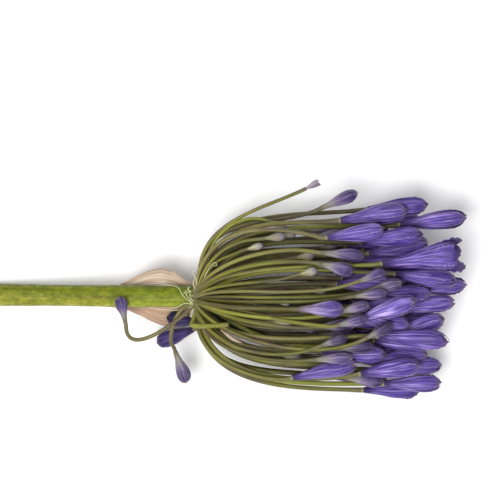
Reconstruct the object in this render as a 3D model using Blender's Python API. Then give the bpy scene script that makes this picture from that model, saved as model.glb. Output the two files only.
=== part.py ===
"""A cut agapanthus flower head in bud, lying on its side.

One leafless stem ends in a small knob, from which nearly a hundred flower stalks fan out and curve
forward like a shaving brush. Each stalk carries a closed bud: long violet ones, shorter half-grown ones,
and pale young ones that have hardly coloured. A few of them hang back beside the stem. One papery bract,
all that is left of the head's wrapping, hangs back under the stem. One stalk beside the hub is cut short.

The head rests on three small flats: under the cut end of the stem and on the bellies of two low buds.
+X runs along the stem towards the bud tips, +Z is up, and z = 0 is the surface it lies on.
Lengths are in millimetres until they become mesh points.
"""

import math

import bmesh
import bpy
import numpy as np
from mathutils import Quaternion, Vector

MM = 0.001
SHARP_ANGLE = math.radians(50.0)

# Where the hub, the middle of the knob that all the stalks leave, stands above the surface.
HUB = np.array((-13.3, -3.33, 28.5))

# Stem and knob
STEM_LENGTH = 106.0
STEM_DRIFT = 0.75
STEM_RADIUS_CUT = 5.4
STEM_RADIUS_TOP = 5.2
STEM_RADIUS_KNOB = 5.9
STEM_INTO_KNOB = 2.0
STEM_WIDENS = 12.0
STEM_SIDES = 14
STEM_RINGS = 5
CUT_RING = 7.0
KNOB_RADIUS = 6.3
KNOB_LENGTH = 6.8
KNOB_SEGMENTS = 12
KNOB_RINGS = 8
FLAT_DEPTH = 0.6

# Stalks
THICKEST_STALK = 1.08
STALK_SWELL = 0.22
SWELLS_FROM = 0.75
STALK_SIDES = 5
STALK_STEPS = 7
INNER_STEPS = 5
INNER_REACH = 33.5
HOOK_STEPS = 13
NECK = 2.4
JOINT_GAP = 0.3
ROOT_DEPTH = 2.0
NEAR_SIDE = (8.0, 24.0)
NEAR_SHIFT = np.array((-0.9, -0.25, 0.75))
LEAVING_LEAST = 6.0
LEAVING_PER_MM = 2.15
LEAVING_MOST = 96.0
LIFT_BY_DISTANCE = 0.26
LIFT_BY_SPREAD = 0.42
BEND_BY_DISTANCE = 0.34
SWAY = 2.2

# Buds: how the width runs from the foot, at 0, to the tip, at 1
PROFILE_AT = np.array((0.0, 0.13, 0.27, 0.45, 0.6, 0.73, 0.86, 0.95, 1.0))
PROFILE = np.array((0.34, 0.47, 0.64, 0.86, 0.97, 1.0, 0.83, 0.5, 0.13))
SMALL_PROFILE = np.array((0.36, 0.4, 0.52, 0.78, 0.95, 1.0, 0.84, 0.52, 0.14))
BUD_RINGS = (0.0, 0.18, 0.36, 0.53, 0.7, 0.84, 0.94, 1.0)
MEDIUM_RINGS = (0.0, 0.24, 0.5, 0.74, 0.9, 1.0)
YOUNG_RINGS = (0.0, 0.34, 0.72, 1.0)
PARTED_PROFILE = np.array((0.26, 0.29, 0.36, 0.6, 0.8, 0.93, 1.0, 0.97, 0.86))
PARTED_RINGS = (0.0, 0.18, 0.36, 0.53, 0.7, 0.84)
NOTCH_DEPTH = 5.5
THROAT_DEPTH = 9.0
BUD_SIDES = 6
FINE_SIDES = 12
GROOVE_DEPTH = 0.09
BUD_SPIN = 1.1
GRAFT = 1.2

# Bract
BRACT_THICKNESS = 0.7
BRACT_DROP = 6.7
BRACT_DROOP = -0.7
BRACT_WAVE = 0.5
BRACT_WAVE_ALONG = 1.7
BRACT_WAVE_ACROSS = 5.0
BRACT_ACROSS = 8
BRACT_AT = (-51.0, -44.0, -36.0, -28.0, -20.0, -12.5, -6.5)
BRACT_LOWER = (-5.0, -6.0, -7.5, -11.0, -14.5, -14.0, -9.5)
BRACT_UPPER = (-2.8, 3.5, 8.0, 12.0, 14.0, 12.0, 7.5)
BRACT_CURL = (17.0, 17.0, 17.0, 17.0, 17.0, 16.0, 10.8)

MATURE, MEDIUM, YOUNG, SPENT = "mature", "medium", "young", "spent"
STALK_RADII = {MATURE: THICKEST_STALK, MEDIUM: 0.95, YOUNG: 0.85, SPENT: 0.9}

# A stalk cut short beside the hub
STUB = ((-1.5, -4.5, 2.5), (-3.0, -10.5, 5.5), (-3.6, -13.8, 10.0), (3.0, -14.2, 14.5), (14.5, -13.4, 18.0))
STUB_RADII = (1.1, 1.1, 1.15, 1.2, 1.35)

# The florets that show, measured from the hub: kind, foot of the bud, its tip, greatest width, and
# where a stalk has a bend of its own, the two points that steer it.
SEEN = (
    (MATURE, (63.0, 29.5, 18.0), (92.0, 33.5, 16.5), 9.0, (2.0, 38.0, 12.0), (35.0, 37.0, 22.0)),
    (MATURE, (90.0, 17.0, 24.0), (131.0, 22.0, 22.0), 14.8, None, None),
    (MATURE, (70.0, 38.0, 7.0), (104.0, 43.5, 5.0), 10.0, None, None),
    (MATURE, (100.0, 34.5, 2.0), (133.5, 40.0, 0.0), 9.6, None, None),
    (MATURE, (97.0, 11.5, 12.0), (127.5, 8.5, 13.0), 9.6, None, None),
    (MATURE, (102.5, 3.5, 3.0), (133.5, 4.5, 3.0), 9.0, None, None),
    (MATURE, (49.0, -5.5, 31.0), (71.5, -5.5, 32.5), 8.4, None, None),
    (MATURE, (79.0, -10.5, 25.0), (107.0, -1.0, 27.0), 9.2, None, None),
    (MATURE, (78.0, -9.0, 11.0), (105.0, -14.0, 14.0), 9.0, None, None),
    (MATURE, (88.5, -20.0, 16.0), (123.5, -21.5, 16.0), 10.0, None, None),
    (MATURE, (46.0, -40.5, 9.0), (78.0, -33.0, 13.0), 8.8, (-6.0, -32.0, 6.0), (28.0, -42.5, 9.0)),
    (MATURE, (80.0, -37.5, 9.0), (110.0, -33.0, 10.0), 10.0, None, None),
    (MATURE, (92.0, -41.0, -1.0), (121.0, -40.5, -2.0), 9.0, None, None),
    (MATURE, (82.0, -46.0, -10.0), (111.0, -46.5, -11.0), 9.0, None, None),
    (MATURE, (86.0, -31.0, 1.0), (114.0, -29.0, 2.0), 8.6, None, None),
    (MATURE, (95.0, -17.0, 4.0), (121.0, -8.0, 6.0), 9.0, None, None),
    (MATURE, (94.0, -12.0, -6.0), (122.0, -14.0, -6.0), 8.6, None, None),
    (MEDIUM, (-37.5, -12.0, -1.0), (-40.0, 0.5, 1.2), 6.4, (-14.0, -16.0, 8.0), (-37.0, -30.0, 0.0)),
    (MEDIUM, (-12.5, -27.5, -6.0), (-6.8, -43.5, -11.0), 7.0, (-15.0, -9.0, 4.0), (-16.5, -21.5, -1.0)),
    (MEDIUM, (60.0, 22.0, 24.0), (81.5, 20.0, 25.0), 6.6, None, None),
    (MEDIUM, (59.5, 16.5, 29.0), (76.0, 13.0, 30.0), 7.0, None, None),
    (MEDIUM, (60.0, 44.0, 3.0), (79.0, 52.5, 2.0), 6.6, None, None),
    (MEDIUM, (78.0, 8.0, 29.0), (92.0, 13.0, 30.0), 6.0, None, None),
    (MEDIUM, (83.0, 3.5, 22.0), (100.0, 7.5, 22.5), 6.6, None, None),
    (MEDIUM, (76.0, 0.5, 27.0), (92.5, 2.5, 27.5), 6.0, None, None),
    (MEDIUM, (69.0, -7.0, 26.0), (84.0, -3.0, 27.0), 6.2, None, None),
    (MEDIUM, (67.5, -13.5, 30.0), (82.5, -10.0, 31.5), 6.0, (16.0, -7.0, 22.0), (45.0, -12.5, 30.0)),
    (MEDIUM, (82.0, -19.5, 24.0), (95.5, -13.0, 25.0), 6.2, None, None),
    (MEDIUM, (60.0, -24.0, 24.0), (72.5, -19.0, 26.0), 5.8, None, None),
    (MEDIUM, (67.5, -25.5, 18.0), (86.5, -23.0, 19.0), 7.0, None, None),
    (MEDIUM, (56.5, -30.5, 19.0), (76.0, -28.5, 20.0), 6.2, None, None),
    (MEDIUM, (72.5, -40.5, 3.0), (92.0, -42.5, 2.0), 7.4, None, None),
    (YOUNG, (31.5, 28.5, 16.0), (42.5, 30.5, 17.0), 4.2, None, None),
    (YOUNG, (35.0, 37.5, 6.0), (43.0, 34.5, 7.0), 4.4, None, None),
    (YOUNG, (23.0, 24.0, 15.0), (31.5, 26.5, 16.0), 3.8, None, None),
    (YOUNG, (49.0, 11.5, 29.0), (58.0, 13.5, 30.0), 4.4, None, None),
    (SPENT, (52.5, 54.0, 3.0), (59.5, 57.5, 3.0), 3.6, (-3.0, 37.0, 8.0), (24.0, 41.0, 6.0)),
    (MATURE, (-1.0, -13.5, -8.5), (-17.0, -10.0, -6.0), 7.4, (4.0, -8.0, -6.0), (7.0, -14.0, -9.0)),
    (MATURE, (-3.5, -16.5, -14.0), (-22.5, -23.5, -20.0), 8.4, (3.0, -8.0, -9.0), (5.0, -13.0, -12.0)),
)

# The one of them whose petals have begun to part at the tip
PARTED = 1

# The two low buds that the head rests on lie level, a flat's depth into the surface.
REST_WIDTH = 9.4
REST_HEIGHT = -HUB[2] + REST_WIDTH / 2 - FLAT_DEPTH
RESTING = (
    (MATURE, (74.0, 25.0, REST_HEIGHT), (106.0, 27.0, REST_HEIGHT), REST_WIDTH, None, None),
    (MATURE, (70.0, -22.0, REST_HEIGHT), (102.0, -25.0, REST_HEIGHT), REST_WIDTH, None, None),
)

# The florets underneath and within, placed by rule
SEED = 41
GOLDEN_ANGLE = math.pi * (3.0 - math.sqrt(5.0))
HIDDEN_MATURE = 36
HIDDEN_MEDIUM = 7
HIDDEN_YOUNG = 12
INNER_HALF_WIDTH = 44.0
INNER_HALF_HEIGHT = 19.5
INNER_MIDDLE = -4.5
FRONT_TIERS = (128.0, 120.0, 106.0)
MEDIUM_TIER = 84.0
TIER_ROUNDING = 13.0
TIER_SPREAD = 3.0
FLARE = 0.0045
LEAN = 0.08
MATURE_LENGTHS = (28.5, 33.5)
MATURE_WIDTHS = (8.6, 9.8)
MEDIUM_LENGTHS = (17.0, 21.0)
MEDIUM_WIDTHS = (6.2, 7.2)
YOUNG_LENGTHS = (7.5, 10.5)
YOUNG_SLIMNESS = 0.44
YOUNG_FEET = (34.0, 62.0)
YOUNG_ABOVE = 28.0
YOUNG_BELOW = 22.0
YOUNG_CORE = 2.0
YOUNG_TURN = 1.3
SPREAD_AT_HUB = 0.52
SPREAD_PER_MM = 0.007

# Moving the florets clear of each other
CLEARANCE = 0.42
RELAX_STEPS = 160
HELD_SHARE = 0.6
HOLD_SEEN = 0.05
HOLD_HIDDEN = 0.01
RELAX_PACE = 0.5
MOST_MOVE = 1.2
FLOOR_CLEARANCE = 0.6
WATCH_STEPS = 8
WATCH_REACH = 17.0
PROBES = np.linspace(0.0, 1.0, 11)
LEAST_SHARE = 0.05
TINY = 1e-6

COLOURS = {
    "stem": (0.155, 0.235, 0.030),
    MATURE: (0.135, 0.100, 0.420),
    MEDIUM: (0.290, 0.250, 0.560),
    YOUNG: (0.480, 0.470, 0.420),
    SPENT: (0.420, 0.400, 0.280),
    "bract": (0.560, 0.400, 0.270),
}
ROUGHNESS = {"stem": 0.5, MATURE: 0.45, MEDIUM: 0.5, YOUNG: 0.5, SPENT: 0.7, "bract": 0.7}


def unit(vectors):
    return vectors / np.linalg.norm(vectors, axis=-1, keepdims=True)


def width_at(along):
    """Share of the greatest radius, at a share of the bud's length."""
    return np.interp(along, PROFILE_AT, PROFILE)


def hidden_florets():
    """Mature and half-grown buds spread by the golden angle through the head, and young ones nearer
    the hub."""
    draw = np.random.default_rng(SEED)
    rows = []
    grown = HIDDEN_MATURE + HIDDEN_MEDIUM
    every = grown // HIDDEN_MEDIUM
    for k in range(grown):
        out = math.sqrt((k + 0.5) / grown)
        turn = k * GOLDEN_ANGLE
        y = INNER_HALF_WIDTH * out * math.cos(turn)
        z = INNER_MIDDLE + INNER_HALF_HEIGHT * out * math.sin(turn)
        medium = k % every == every // 2
        length = draw.uniform(*(MEDIUM_LENGTHS if medium else MATURE_LENGTHS))
        width = draw.uniform(*(MEDIUM_WIDTHS if medium else MATURE_WIDTHS))
        tier = MEDIUM_TIER if medium else FRONT_TIERS[k % len(FRONT_TIERS)]
        tip_x = tier - TIER_ROUNDING * out**2 + draw.uniform(-TIER_SPREAD, TIER_SPREAD)
        lean = draw.uniform(-LEAN, LEAN, 2)
        flare = FLARE * np.array((y / 2, z - INNER_MIDDLE))
        heading = unit(np.array((1.0, flare[0] + lean[0], flare[1] + lean[1])))
        tip = np.array((tip_x, y, z)) + heading * (0.0, 0.5, 0.5) * length
        kind = MEDIUM if medium else MATURE
        rows.append((kind, tuple(tip - heading * length), tuple(tip), width, None, None))
    for k in range(HIDDEN_YOUNG):
        out = math.sqrt((k + YOUNG_CORE) / (HIDDEN_YOUNG + YOUNG_CORE))
        turn = k * GOLDEN_ANGLE + YOUNG_TURN
        foot_x = draw.uniform(*YOUNG_FEET)
        spread = SPREAD_AT_HUB + SPREAD_PER_MM * foot_x
        y = INNER_HALF_WIDTH * spread * out * math.cos(turn)
        z = (YOUNG_ABOVE if math.sin(turn) > 0 else YOUNG_BELOW) * spread * out * math.sin(turn)
        length = draw.uniform(*YOUNG_LENGTHS)
        heading = unit(np.array((1.0, FLARE * y + draw.uniform(-LEAN, LEAN), FLARE * z)))
        foot = np.array((foot_x, y, z))
        width = YOUNG_SLIMNESS * length
        rows.append((YOUNG, tuple(foot), tuple(foot + heading * length), width, None, None))
    return rows


class Florets:
    """All florets as arrays, in millimetres from the hub: each stalk is a cubic curve from its root
    to the neck, then a short straight neck, then the bud from foot to tip."""

    def __init__(self, rows):
        self.kind = [row[0] for row in rows]
        self.foot = np.array([row[1] for row in rows])
        self.tip = np.array([row[2] for row in rows])
        self.radius = np.array([row[3] for row in rows]) / 2
        self.length = np.linalg.norm(self.tip - self.foot, axis=1)
        self.count = len(rows)
        draw = np.random.default_rng(SEED + 1)
        sway = draw.uniform(-SWAY, SWAY, (2, self.count, 3))
        distance = np.linalg.norm(self.foot, axis=1)
        off_axis = np.linalg.norm(self.foot[:, 1:], axis=1)
        leaving = np.radians(np.minimum(LEAVING_LEAST + LEAVING_PER_MM * off_axis, LEAVING_MOST))
        side = self.foot[:, 1:] / off_axis[:, None]
        heading = np.column_stack((np.cos(leaving), np.sin(leaving)[:, None] * side))
        for i, row in enumerate(rows):
            if row[4] is not None:
                heading[i] = unit(np.array(row[4]))
        knob = np.array((KNOB_LENGTH, KNOB_RADIUS, KNOB_RADIUS))
        nearness = np.clip(np.interp(self.foot[:, 2], NEAR_SIDE, (0.0, 1.0)), 0.0, 1.0)
        leaves_at = unit(heading + nearness[:, None] * NEAR_SHIFT)
        surface = leaves_at / np.linalg.norm(leaves_at / knob, axis=1, keepdims=True)
        self.root = surface - ROOT_DEPTH * heading
        reach = LIFT_BY_DISTANCE * distance + LIFT_BY_SPREAD * off_axis
        self.lift = self.root + heading * reach[:, None] + sway[0]
        along = unit(self.tip - self.foot)
        self.bend = self.foot - along * (BEND_BY_DISTANCE * distance)[:, None] + sway[1]
        for i, row in enumerate(rows):
            if row[4] is not None:
                self.lift[i] = row[4]
                self.bend[i] = row[5]

    def stalk_points(self, basis=None):
        """Points along every stalk: the curve's steps to the neck, then the stalk's end at the bud."""
        basis = BASIS if basis is None else basis
        along = unit(self.tip - self.foot)
        neck = self.foot - along * NECK
        end = self.foot - along * JOINT_GAP
        controls = np.stack((self.root, self.lift, self.bend, neck), axis=1)
        return np.concatenate((np.einsum("tk,nkx->ntx", basis, controls), end[:, None]), axis=1)


def cubic_basis(steps):
    t = np.linspace(0.0, 1.0, steps + 1)
    s = 1.0 - t
    return np.column_stack((s**3, 3 * s**2 * t, 3 * s * t**2, t**3))


BASIS = cubic_basis(STALK_STEPS)
INNER_BASIS = cubic_basis(INNER_STEPS)
HOOK_BASIS = cubic_basis(HOOK_STEPS)


def nearest(points, starts, runs):
    """For matching rows, how far along each run lies its nearest place to the point, as a share, and
    the way from there to the point."""
    offset = points - starts
    at = (offset * runs).sum(axis=-1) / np.maximum((runs**2).sum(axis=-1), TINY)
    at = np.clip(at, 0.0, 1.0)
    return at, offset - runs * at[..., None]


def close_pairs(points, owners, starts, runs, run_owners):
    """Pairs of a point and a run of different florets that lie near enough to be watched."""
    _, apart = nearest(points[:, None], starts[None], runs[None])
    near = (apart**2).sum(axis=2) < WATCH_REACH**2
    near[owners[:, None] == run_owners[None]] = False
    return np.nonzero(near)


def relax(florets, fixed):
    """Moves florets apart until every bud is clear of every other bud and of every other stalk. The
    first steps pull each floret back towards its own place, the last ones only part them."""
    n = florets.count
    own = np.arange(n)
    rest = [florets.lift.copy(), florets.bend - florets.foot, florets.foot.copy(), florets.tip.copy()]
    free = np.ones(n)
    free[fixed] = 0.0
    hold = np.where(own < len(SEEN), HOLD_SEEN, HOLD_HIDDEN)
    weights = np.vstack((BASIS, (0.0, 0.0, 0.0, 1.0)))
    segments = STALK_STEPS + 1
    bud_of = np.repeat(own, len(PROBES))
    probe_of = np.tile(PROBES, n)
    stalk_of = np.repeat(own, segments)
    step_of = np.tile(np.arange(segments), n)
    probe_radius = florets.radius[bud_of] * width_at(probe_of)
    stalk_radius = THICKEST_STALK + STALK_SWELL
    for step in range(RELAX_STEPS):
        push = [np.zeros((n, 3)) for _ in range(4)]

        def push_bud(which, at, vectors):
            share = at**2 + (1.0 - at) ** 2
            np.add.at(push[2], which, vectors * ((1.0 - at) / share)[:, None])
            np.add.at(push[3], which, vectors * (at / share)[:, None])

        axis = florets.tip - florets.foot
        spots = florets.foot[bud_of] + axis[bud_of] * probe_of[:, None]
        points = florets.stalk_points()
        starts = points[:, :-1].reshape(-1, 3)
        runs = points[:, 1:].reshape(-1, 3) - starts
        if step % WATCH_STEPS == 0:
            bud_pairs = close_pairs(spots, bud_of, florets.foot, axis, own)
            stalk_pairs = close_pairs(spots, bud_of, starts, runs, stalk_of)

        # Buds against buds
        spot, other = bud_pairs
        at, apart = nearest(spots[spot], florets.foot[other], axis[other])
        distance = np.linalg.norm(apart, axis=1)
        need = probe_radius[spot] + florets.radius[other] * width_at(at) + CLEARANCE
        hit = np.nonzero(distance < need)[0]
        vectors = apart[hit] * (0.5 * (need[hit] / np.maximum(distance[hit], TINY) - 1.0))[:, None]
        push_bud(bud_of[spot[hit]], probe_of[spot[hit]], vectors)
        push_bud(other[hit], at[hit], -vectors)

        # Buds against the other florets' stalks
        spot, run = stalk_pairs
        at, apart = nearest(spots[spot], starts[run], runs[run])
        distance = np.linalg.norm(apart, axis=1)
        need = probe_radius[spot] + stalk_radius + CLEARANCE
        hit = np.nonzero(distance < need)[0]
        vectors = apart[hit] * (0.5 * (need[hit] / np.maximum(distance[hit], TINY) - 1.0))[:, None]
        push_bud(bud_of[spot[hit]], probe_of[spot[hit]], vectors)
        first = step_of[run[hit]]
        share = weights[first] * (1.0 - at[hit])[:, None] + weights[first + 1] * at[hit][:, None]
        share = share[:, 1:] / np.maximum((share[:, 1:] ** 2).sum(axis=1, keepdims=True), LEAST_SHARE)
        for k in range(3):
            np.add.at(push[k], stalk_of[run[hit]], -vectors * share[:, k : k + 1])

        # Buds above the surface
        low = -HUB[2] + FLOOR_CLEARANCE + probe_radius - spots[:, 2]
        under = np.nonzero(low > 0.0)[0]
        push_bud(bud_of[under], probe_of[under], low[under, None] * np.array((0.0, 0.0, 1.0)))

        pull = np.where(step < HELD_SHARE * RELAX_STEPS, hold, 0.0)[:, None]
        pace = RELAX_PACE * free[:, None]
        moves = [np.clip(pace * p, -MOST_MOVE, MOST_MOVE) for p in push]
        bend_from_foot = florets.bend - florets.foot
        florets.lift += moves[0] + pull * (rest[0] - florets.lift)
        florets.foot += moves[2] + pull * free[:, None] * (rest[2] - florets.foot)
        florets.tip += moves[3] + pull * free[:, None] * (rest[3] - florets.tip)
        florets.bend = florets.foot + bend_from_foot + moves[1] + pull * (rest[1] - bend_from_foot)
        florets.tip = florets.foot + unit(florets.tip - florets.foot) * florets.length[:, None]


def lay_out():
    rows = list(SEEN) + list(RESTING) + hidden_florets()
    florets = Florets(rows)
    fixed = list(range(len(SEEN), len(SEEN) + len(RESTING)))
    relax(florets, fixed)
    return florets, fixed


def stem_axis(x):
    """Middle of the stem, in millimetres from the hub: it runs back and down to the cut end."""
    back = -np.asarray(x, float) / STEM_LENGTH
    fall = HUB[2] - STEM_RADIUS_CUT + FLAT_DEPTH
    return np.stack((np.asarray(x, float), STEM_DRIFT * back, -fall * back), axis=-1)


def clear_scene():
    for obj in list(bpy.data.objects):
        bpy.data.objects.remove(obj, do_unlink=True)


def material(name):
    made = bpy.data.materials.get(name)
    if made:
        return made
    made = bpy.data.materials.new(name)
    made.use_nodes = True
    shader = made.node_tree.nodes["Principled BSDF"]
    shader.inputs["Base Color"].default_value = (*COLOURS[name], 1.0)
    shader.inputs["Roughness"].default_value = ROUGHNESS[name]
    shader.inputs["Metallic"].default_value = 0.0
    made.diffuse_color = (*COLOURS[name], 1.0)
    return made


def add_object(name, bm, place, material_name):
    """Puts a mesh, built in millimetres round its own place, into the scene."""
    bmesh.ops.scale(bm, vec=(MM, MM, MM), verts=bm.verts)
    bmesh.ops.recalc_face_normals(bm, faces=bm.faces)
    mesh = bpy.data.meshes.new(name)
    bm.to_mesh(mesh)
    bm.free()
    mesh.materials.append(material(material_name))
    mesh.shade_smooth()
    mesh.set_sharp_from_angle(angle=SHARP_ANGLE)
    obj = bpy.data.objects.new(name, mesh)
    obj.location = Vector(HUB + np.asarray(place, float)) * MM
    bpy.context.scene.collection.objects.link(obj)
    return obj


def loft(bm, rings):
    """Faces between rings of points with the same count, and a cap on each end."""
    loops = [[bm.verts.new(point) for point in ring] for ring in rings]
    count = len(loops[0])
    for near, far in zip(loops, loops[1:]):
        for k in range(count):
            bm.faces.new((near[k], near[(k + 1) % count], far[(k + 1) % count], far[k]))
    bm.faces.new(loops[0][::-1])
    bm.faces.new(loops[-1])


def swept_rings(points, radii, sides):
    """Rings square to a path, carried along it without twist."""
    path = [Vector(point) for point in points]
    ahead = [(b - a).normalized() for a, b in zip(path, path[1:])]
    tangents = [ahead[0]]
    tangents += [(a + b).normalized() for a, b in zip(ahead, ahead[1:])]
    tangents.append(ahead[-1])
    across = tangents[0].orthogonal().normalized()
    rings = []
    for k, (point, tangent, radius) in enumerate(zip(path, tangents, radii)):
        if k:
            across = tangents[k - 1].rotation_difference(tangent) @ across
        upward = tangent.cross(across)
        ring = []
        for side in range(sides):
            angle = 2 * math.pi * side / sides
            outward = math.cos(angle) * across + math.sin(angle) * upward
            ring.append(point + float(radius) * outward)
        rings.append(ring)
    return rings


def upright(along, turn):
    """The turn that stands a shape built up +Z along a direction, spun by an angle round it."""
    return Quaternion(along, turn) @ Vector((0.0, 0.0, 1.0)).rotation_difference(along)


def bud_rings(stations, profile, radius, length, sides, turn, along):
    """Rings of a closed bud. With twelve sides, the petals' middles stand out as ridges; with six they
    are its corners."""
    groove = GROOVE_DEPTH if sides == FINE_SIDES else 0.0
    stand = upright(along, turn)
    rings = []
    for at in stations:
        girth = float(radius * np.interp(at, PROFILE_AT, profile))
        ring = []
        for side in range(sides):
            angle = 2 * math.pi * side / sides
            reach = girth * (1.0 - groove * (side % 2))
            spot = (reach * math.cos(angle), reach * math.sin(angle), at * float(length))
            ring.append(stand @ Vector(spot))
        rings.append(ring)
    return rings


def loft_parted(bm, radius, length, turn, along):
    """A bud whose six petals have parted: their tips stand round a shallow throat."""
    stand = upright(along, turn)
    loops = []
    for at in PARTED_RINGS + (1.0,):
        girth = float(radius * np.interp(at, PROFILE_AT, PARTED_PROFILE))
        loop = []
        for side in range(FINE_SIDES):
            angle = 2 * math.pi * side / FINE_SIDES
            between = side % 2
            reach = girth * (1.0 - GROOVE_DEPTH * between)
            height = at * float(length)
            if at == 1.0:
                height -= NOTCH_DEPTH * between
            spot = (reach * math.cos(angle), reach * math.sin(angle), height)
            loop.append(bm.verts.new(stand @ Vector(spot)))
        loops.append(loop)
    throat = bm.verts.new(stand @ Vector((0.0, 0.0, float(length) - THROAT_DEPTH)))
    bm.faces.new(loops[0][::-1])
    for near, far in zip(loops, loops[1:]):
        for k in range(FINE_SIDES):
            after = (k + 1) % FINE_SIDES
            bm.faces.new((near[k], near[after], far[after], far[k]))
    for k in range(FINE_SIDES):
        bm.faces.new((loops[-1][k], loops[-1][(k + 1) % FINE_SIDES], throat))


def cut_flat(bm, height):
    """Cuts off what lies below a level, and closes the cut with one flat face."""
    everything = bm.verts[:] + bm.edges[:] + bm.faces[:]
    cut = bmesh.ops.bisect_plane(
        bm, geom=everything, dist=1e-4, plane_co=(0, 0, height), plane_no=(0, 0, 1), clear_inner=True
    )
    rim = [item for item in cut["geom_cut"] if isinstance(item, bmesh.types.BMEdge)]
    bmesh.ops.edgenet_fill(bm, edges=rim)


def make_stem():
    """The stem from the cut end to the knob, with a flat spot underneath where the cut end rests."""
    xs = np.linspace(-STEM_LENGTH, -STEM_INTO_KNOB, STEM_RINGS)
    xs = np.insert(xs, 1, -STEM_LENGTH + CUT_RING)
    radius_at = (-STEM_LENGTH, -STEM_WIDENS, -STEM_INTO_KNOB)
    radii = np.interp(xs, radius_at, (STEM_RADIUS_CUT, STEM_RADIUS_TOP, STEM_RADIUS_KNOB))
    bm = bmesh.new()
    loft(bm, swept_rings(stem_axis(xs), radii, STEM_SIDES))
    cut_flat(bm, -HUB[2])
    return add_object("stem_and_stalks", bm, (0.0, 0.0, 0.0), "stem")


def make_knob():
    bm = bmesh.new()
    bmesh.ops.create_uvsphere(bm, u_segments=KNOB_SEGMENTS, v_segments=KNOB_RINGS, radius=1.0)
    bmesh.ops.scale(bm, vec=(KNOB_LENGTH, KNOB_RADIUS, KNOB_RADIUS), verts=bm.verts)
    return add_object("knob", bm, (0.0, 0.0, 0.0), "stem")


def stalk_radii(kind, count):
    """Even along the stalk, swelling into the joint below the bud."""
    at = np.linspace(0.0, 1.0, count)
    return STALK_RADII[kind] + STALK_SWELL * np.clip((at - SWELLS_FROM) / (1.0 - SWELLS_FROM), 0.0, 1.0)


def make_stalk(points, radii, label):
    bm = bmesh.new()
    loft(bm, swept_rings(points, radii, STALK_SIDES))
    return add_object(f"stalk_{label}", bm, (0.0, 0.0, 0.0), "stem")


def make_grafted(florets, i):
    """A young, half-grown or spent bud, grown on to the end of its stalk."""
    kind = florets.kind[i]
    along = Vector(unit(florets.tip[i] - florets.foot[i]))
    start = florets.foot[i] - np.array(along) * GRAFT
    stations = MEDIUM_RINGS if kind == MEDIUM else YOUNG_RINGS
    length = florets.length[i] + GRAFT
    bm = bmesh.new()
    turn = BUD_SPIN * i
    loft(bm, bud_rings(stations, SMALL_PROFILE, florets.radius[i], length, BUD_SIDES, turn, along))
    return add_object(f"{kind}_{i}", bm, start, kind)


def fuse(base, others):
    """Joins the others to the base as one body and removes them."""
    holder = bpy.data.collections.new("to_fuse")
    for obj in others:
        bpy.context.scene.collection.objects.unlink(obj)
        holder.objects.link(obj)
    bpy.context.scene.collection.children.link(holder)
    union = base.modifiers.new("union", "BOOLEAN")
    union.operation = "UNION"
    union.operand_type = "COLLECTION"
    union.collection = holder
    union.solver = "MANIFOLD"
    union.material_mode = "TRANSFER"
    bpy.context.view_layer.update()
    graph = bpy.context.evaluated_depsgraph_get()
    fused = bpy.data.meshes.new_from_object(base.evaluated_get(graph))
    base.modifiers.clear()
    base.data = fused
    for obj in others:
        bpy.data.objects.remove(obj, do_unlink=True)
    bpy.data.collections.remove(holder)
    fused.name = base.name


def make_bud(florets, i, name, resting):
    """A mature bud, a piece of its own. A resting one has a flat spot on its belly."""
    along = Vector(unit(florets.tip[i] - florets.foot[i]))
    turn = 0.0 if resting else BUD_SPIN * i
    bm = bmesh.new()
    if i == PARTED:
        loft_parted(bm, florets.radius[i], florets.length[i], turn, along)
    else:
        sides = FINE_SIDES if resting else BUD_SIDES
        radius, length = florets.radius[i], florets.length[i]
        loft(bm, bud_rings(BUD_RINGS, PROFILE, radius, length, sides, turn, along))
    if resting:
        cut_flat(bm, -HUB[2] - florets.foot[i][2])
    add_object(name, bm, florets.foot[i], MATURE)


def make_bract():
    """A thin papery blade that hangs back under the stem like a shallow trough, and hugs it at the
    base."""
    across = np.linspace(0.0, 1.0, BRACT_ACROSS + 1)
    grid = np.zeros((len(BRACT_AT), len(across), 3))
    for i, (x, lower, upper, curl) in enumerate(zip(BRACT_AT, BRACT_LOWER, BRACT_UPPER, BRACT_CURL)):
        y = lower + (upper - lower) * across
        middle = stem_axis(x)
        rise = (curl - np.sqrt(curl**2 - y**2)) * np.where(y > 0.0, 1.0, BRACT_DROOP)
        ripple = np.sin(BRACT_WAVE_ALONG * i + BRACT_WAVE_ACROSS * across)
        wave = BRACT_WAVE * ripple * np.abs(2 * across - 1)
        grid[i, :, 0] = x
        grid[i, :, 1] = middle[1] + y
        grid[i, :, 2] = middle[2] - BRACT_DROP + rise - np.abs(wave)
    along = np.gradient(grid, axis=0)
    sideways = np.gradient(grid, axis=1)
    normals = unit(np.cross(along, sideways))
    bm = bmesh.new()
    faces = []
    for side in (0.5, -0.5):
        layer = grid + normals * BRACT_THICKNESS * side
        faces.append([[bm.verts.new(point) for point in row] for row in layer])
    rows, columns = grid.shape[:2]
    for layer, flip in ((faces[0], False), (faces[1], True)):
        for i in range(rows - 1):
            for j in range(columns - 1):
                a, b = layer[i][j], layer[i + 1][j]
                c, d = layer[i + 1][j + 1], layer[i][j + 1]
                for corners in ((a, b, c), (a, c, d)):
                    bm.faces.new(corners[::-1] if flip else corners)
    rim = [(i, 0) for i in range(rows)]
    rim += [(rows - 1, j) for j in range(1, columns)]
    rim += [(i, columns - 1) for i in range(rows - 2, -1, -1)]
    rim += [(0, j) for j in range(columns - 2, 0, -1)]
    for (i, j), (k, m) in zip(rim, rim[1:] + rim[:1]):
        bm.faces.new((faces[0][i][j], faces[1][i][j], faces[1][k][m], faces[0][k][m]))
    add_object("spathe_bract", bm, (0.0, 0.0, 0.0), "bract")


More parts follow.
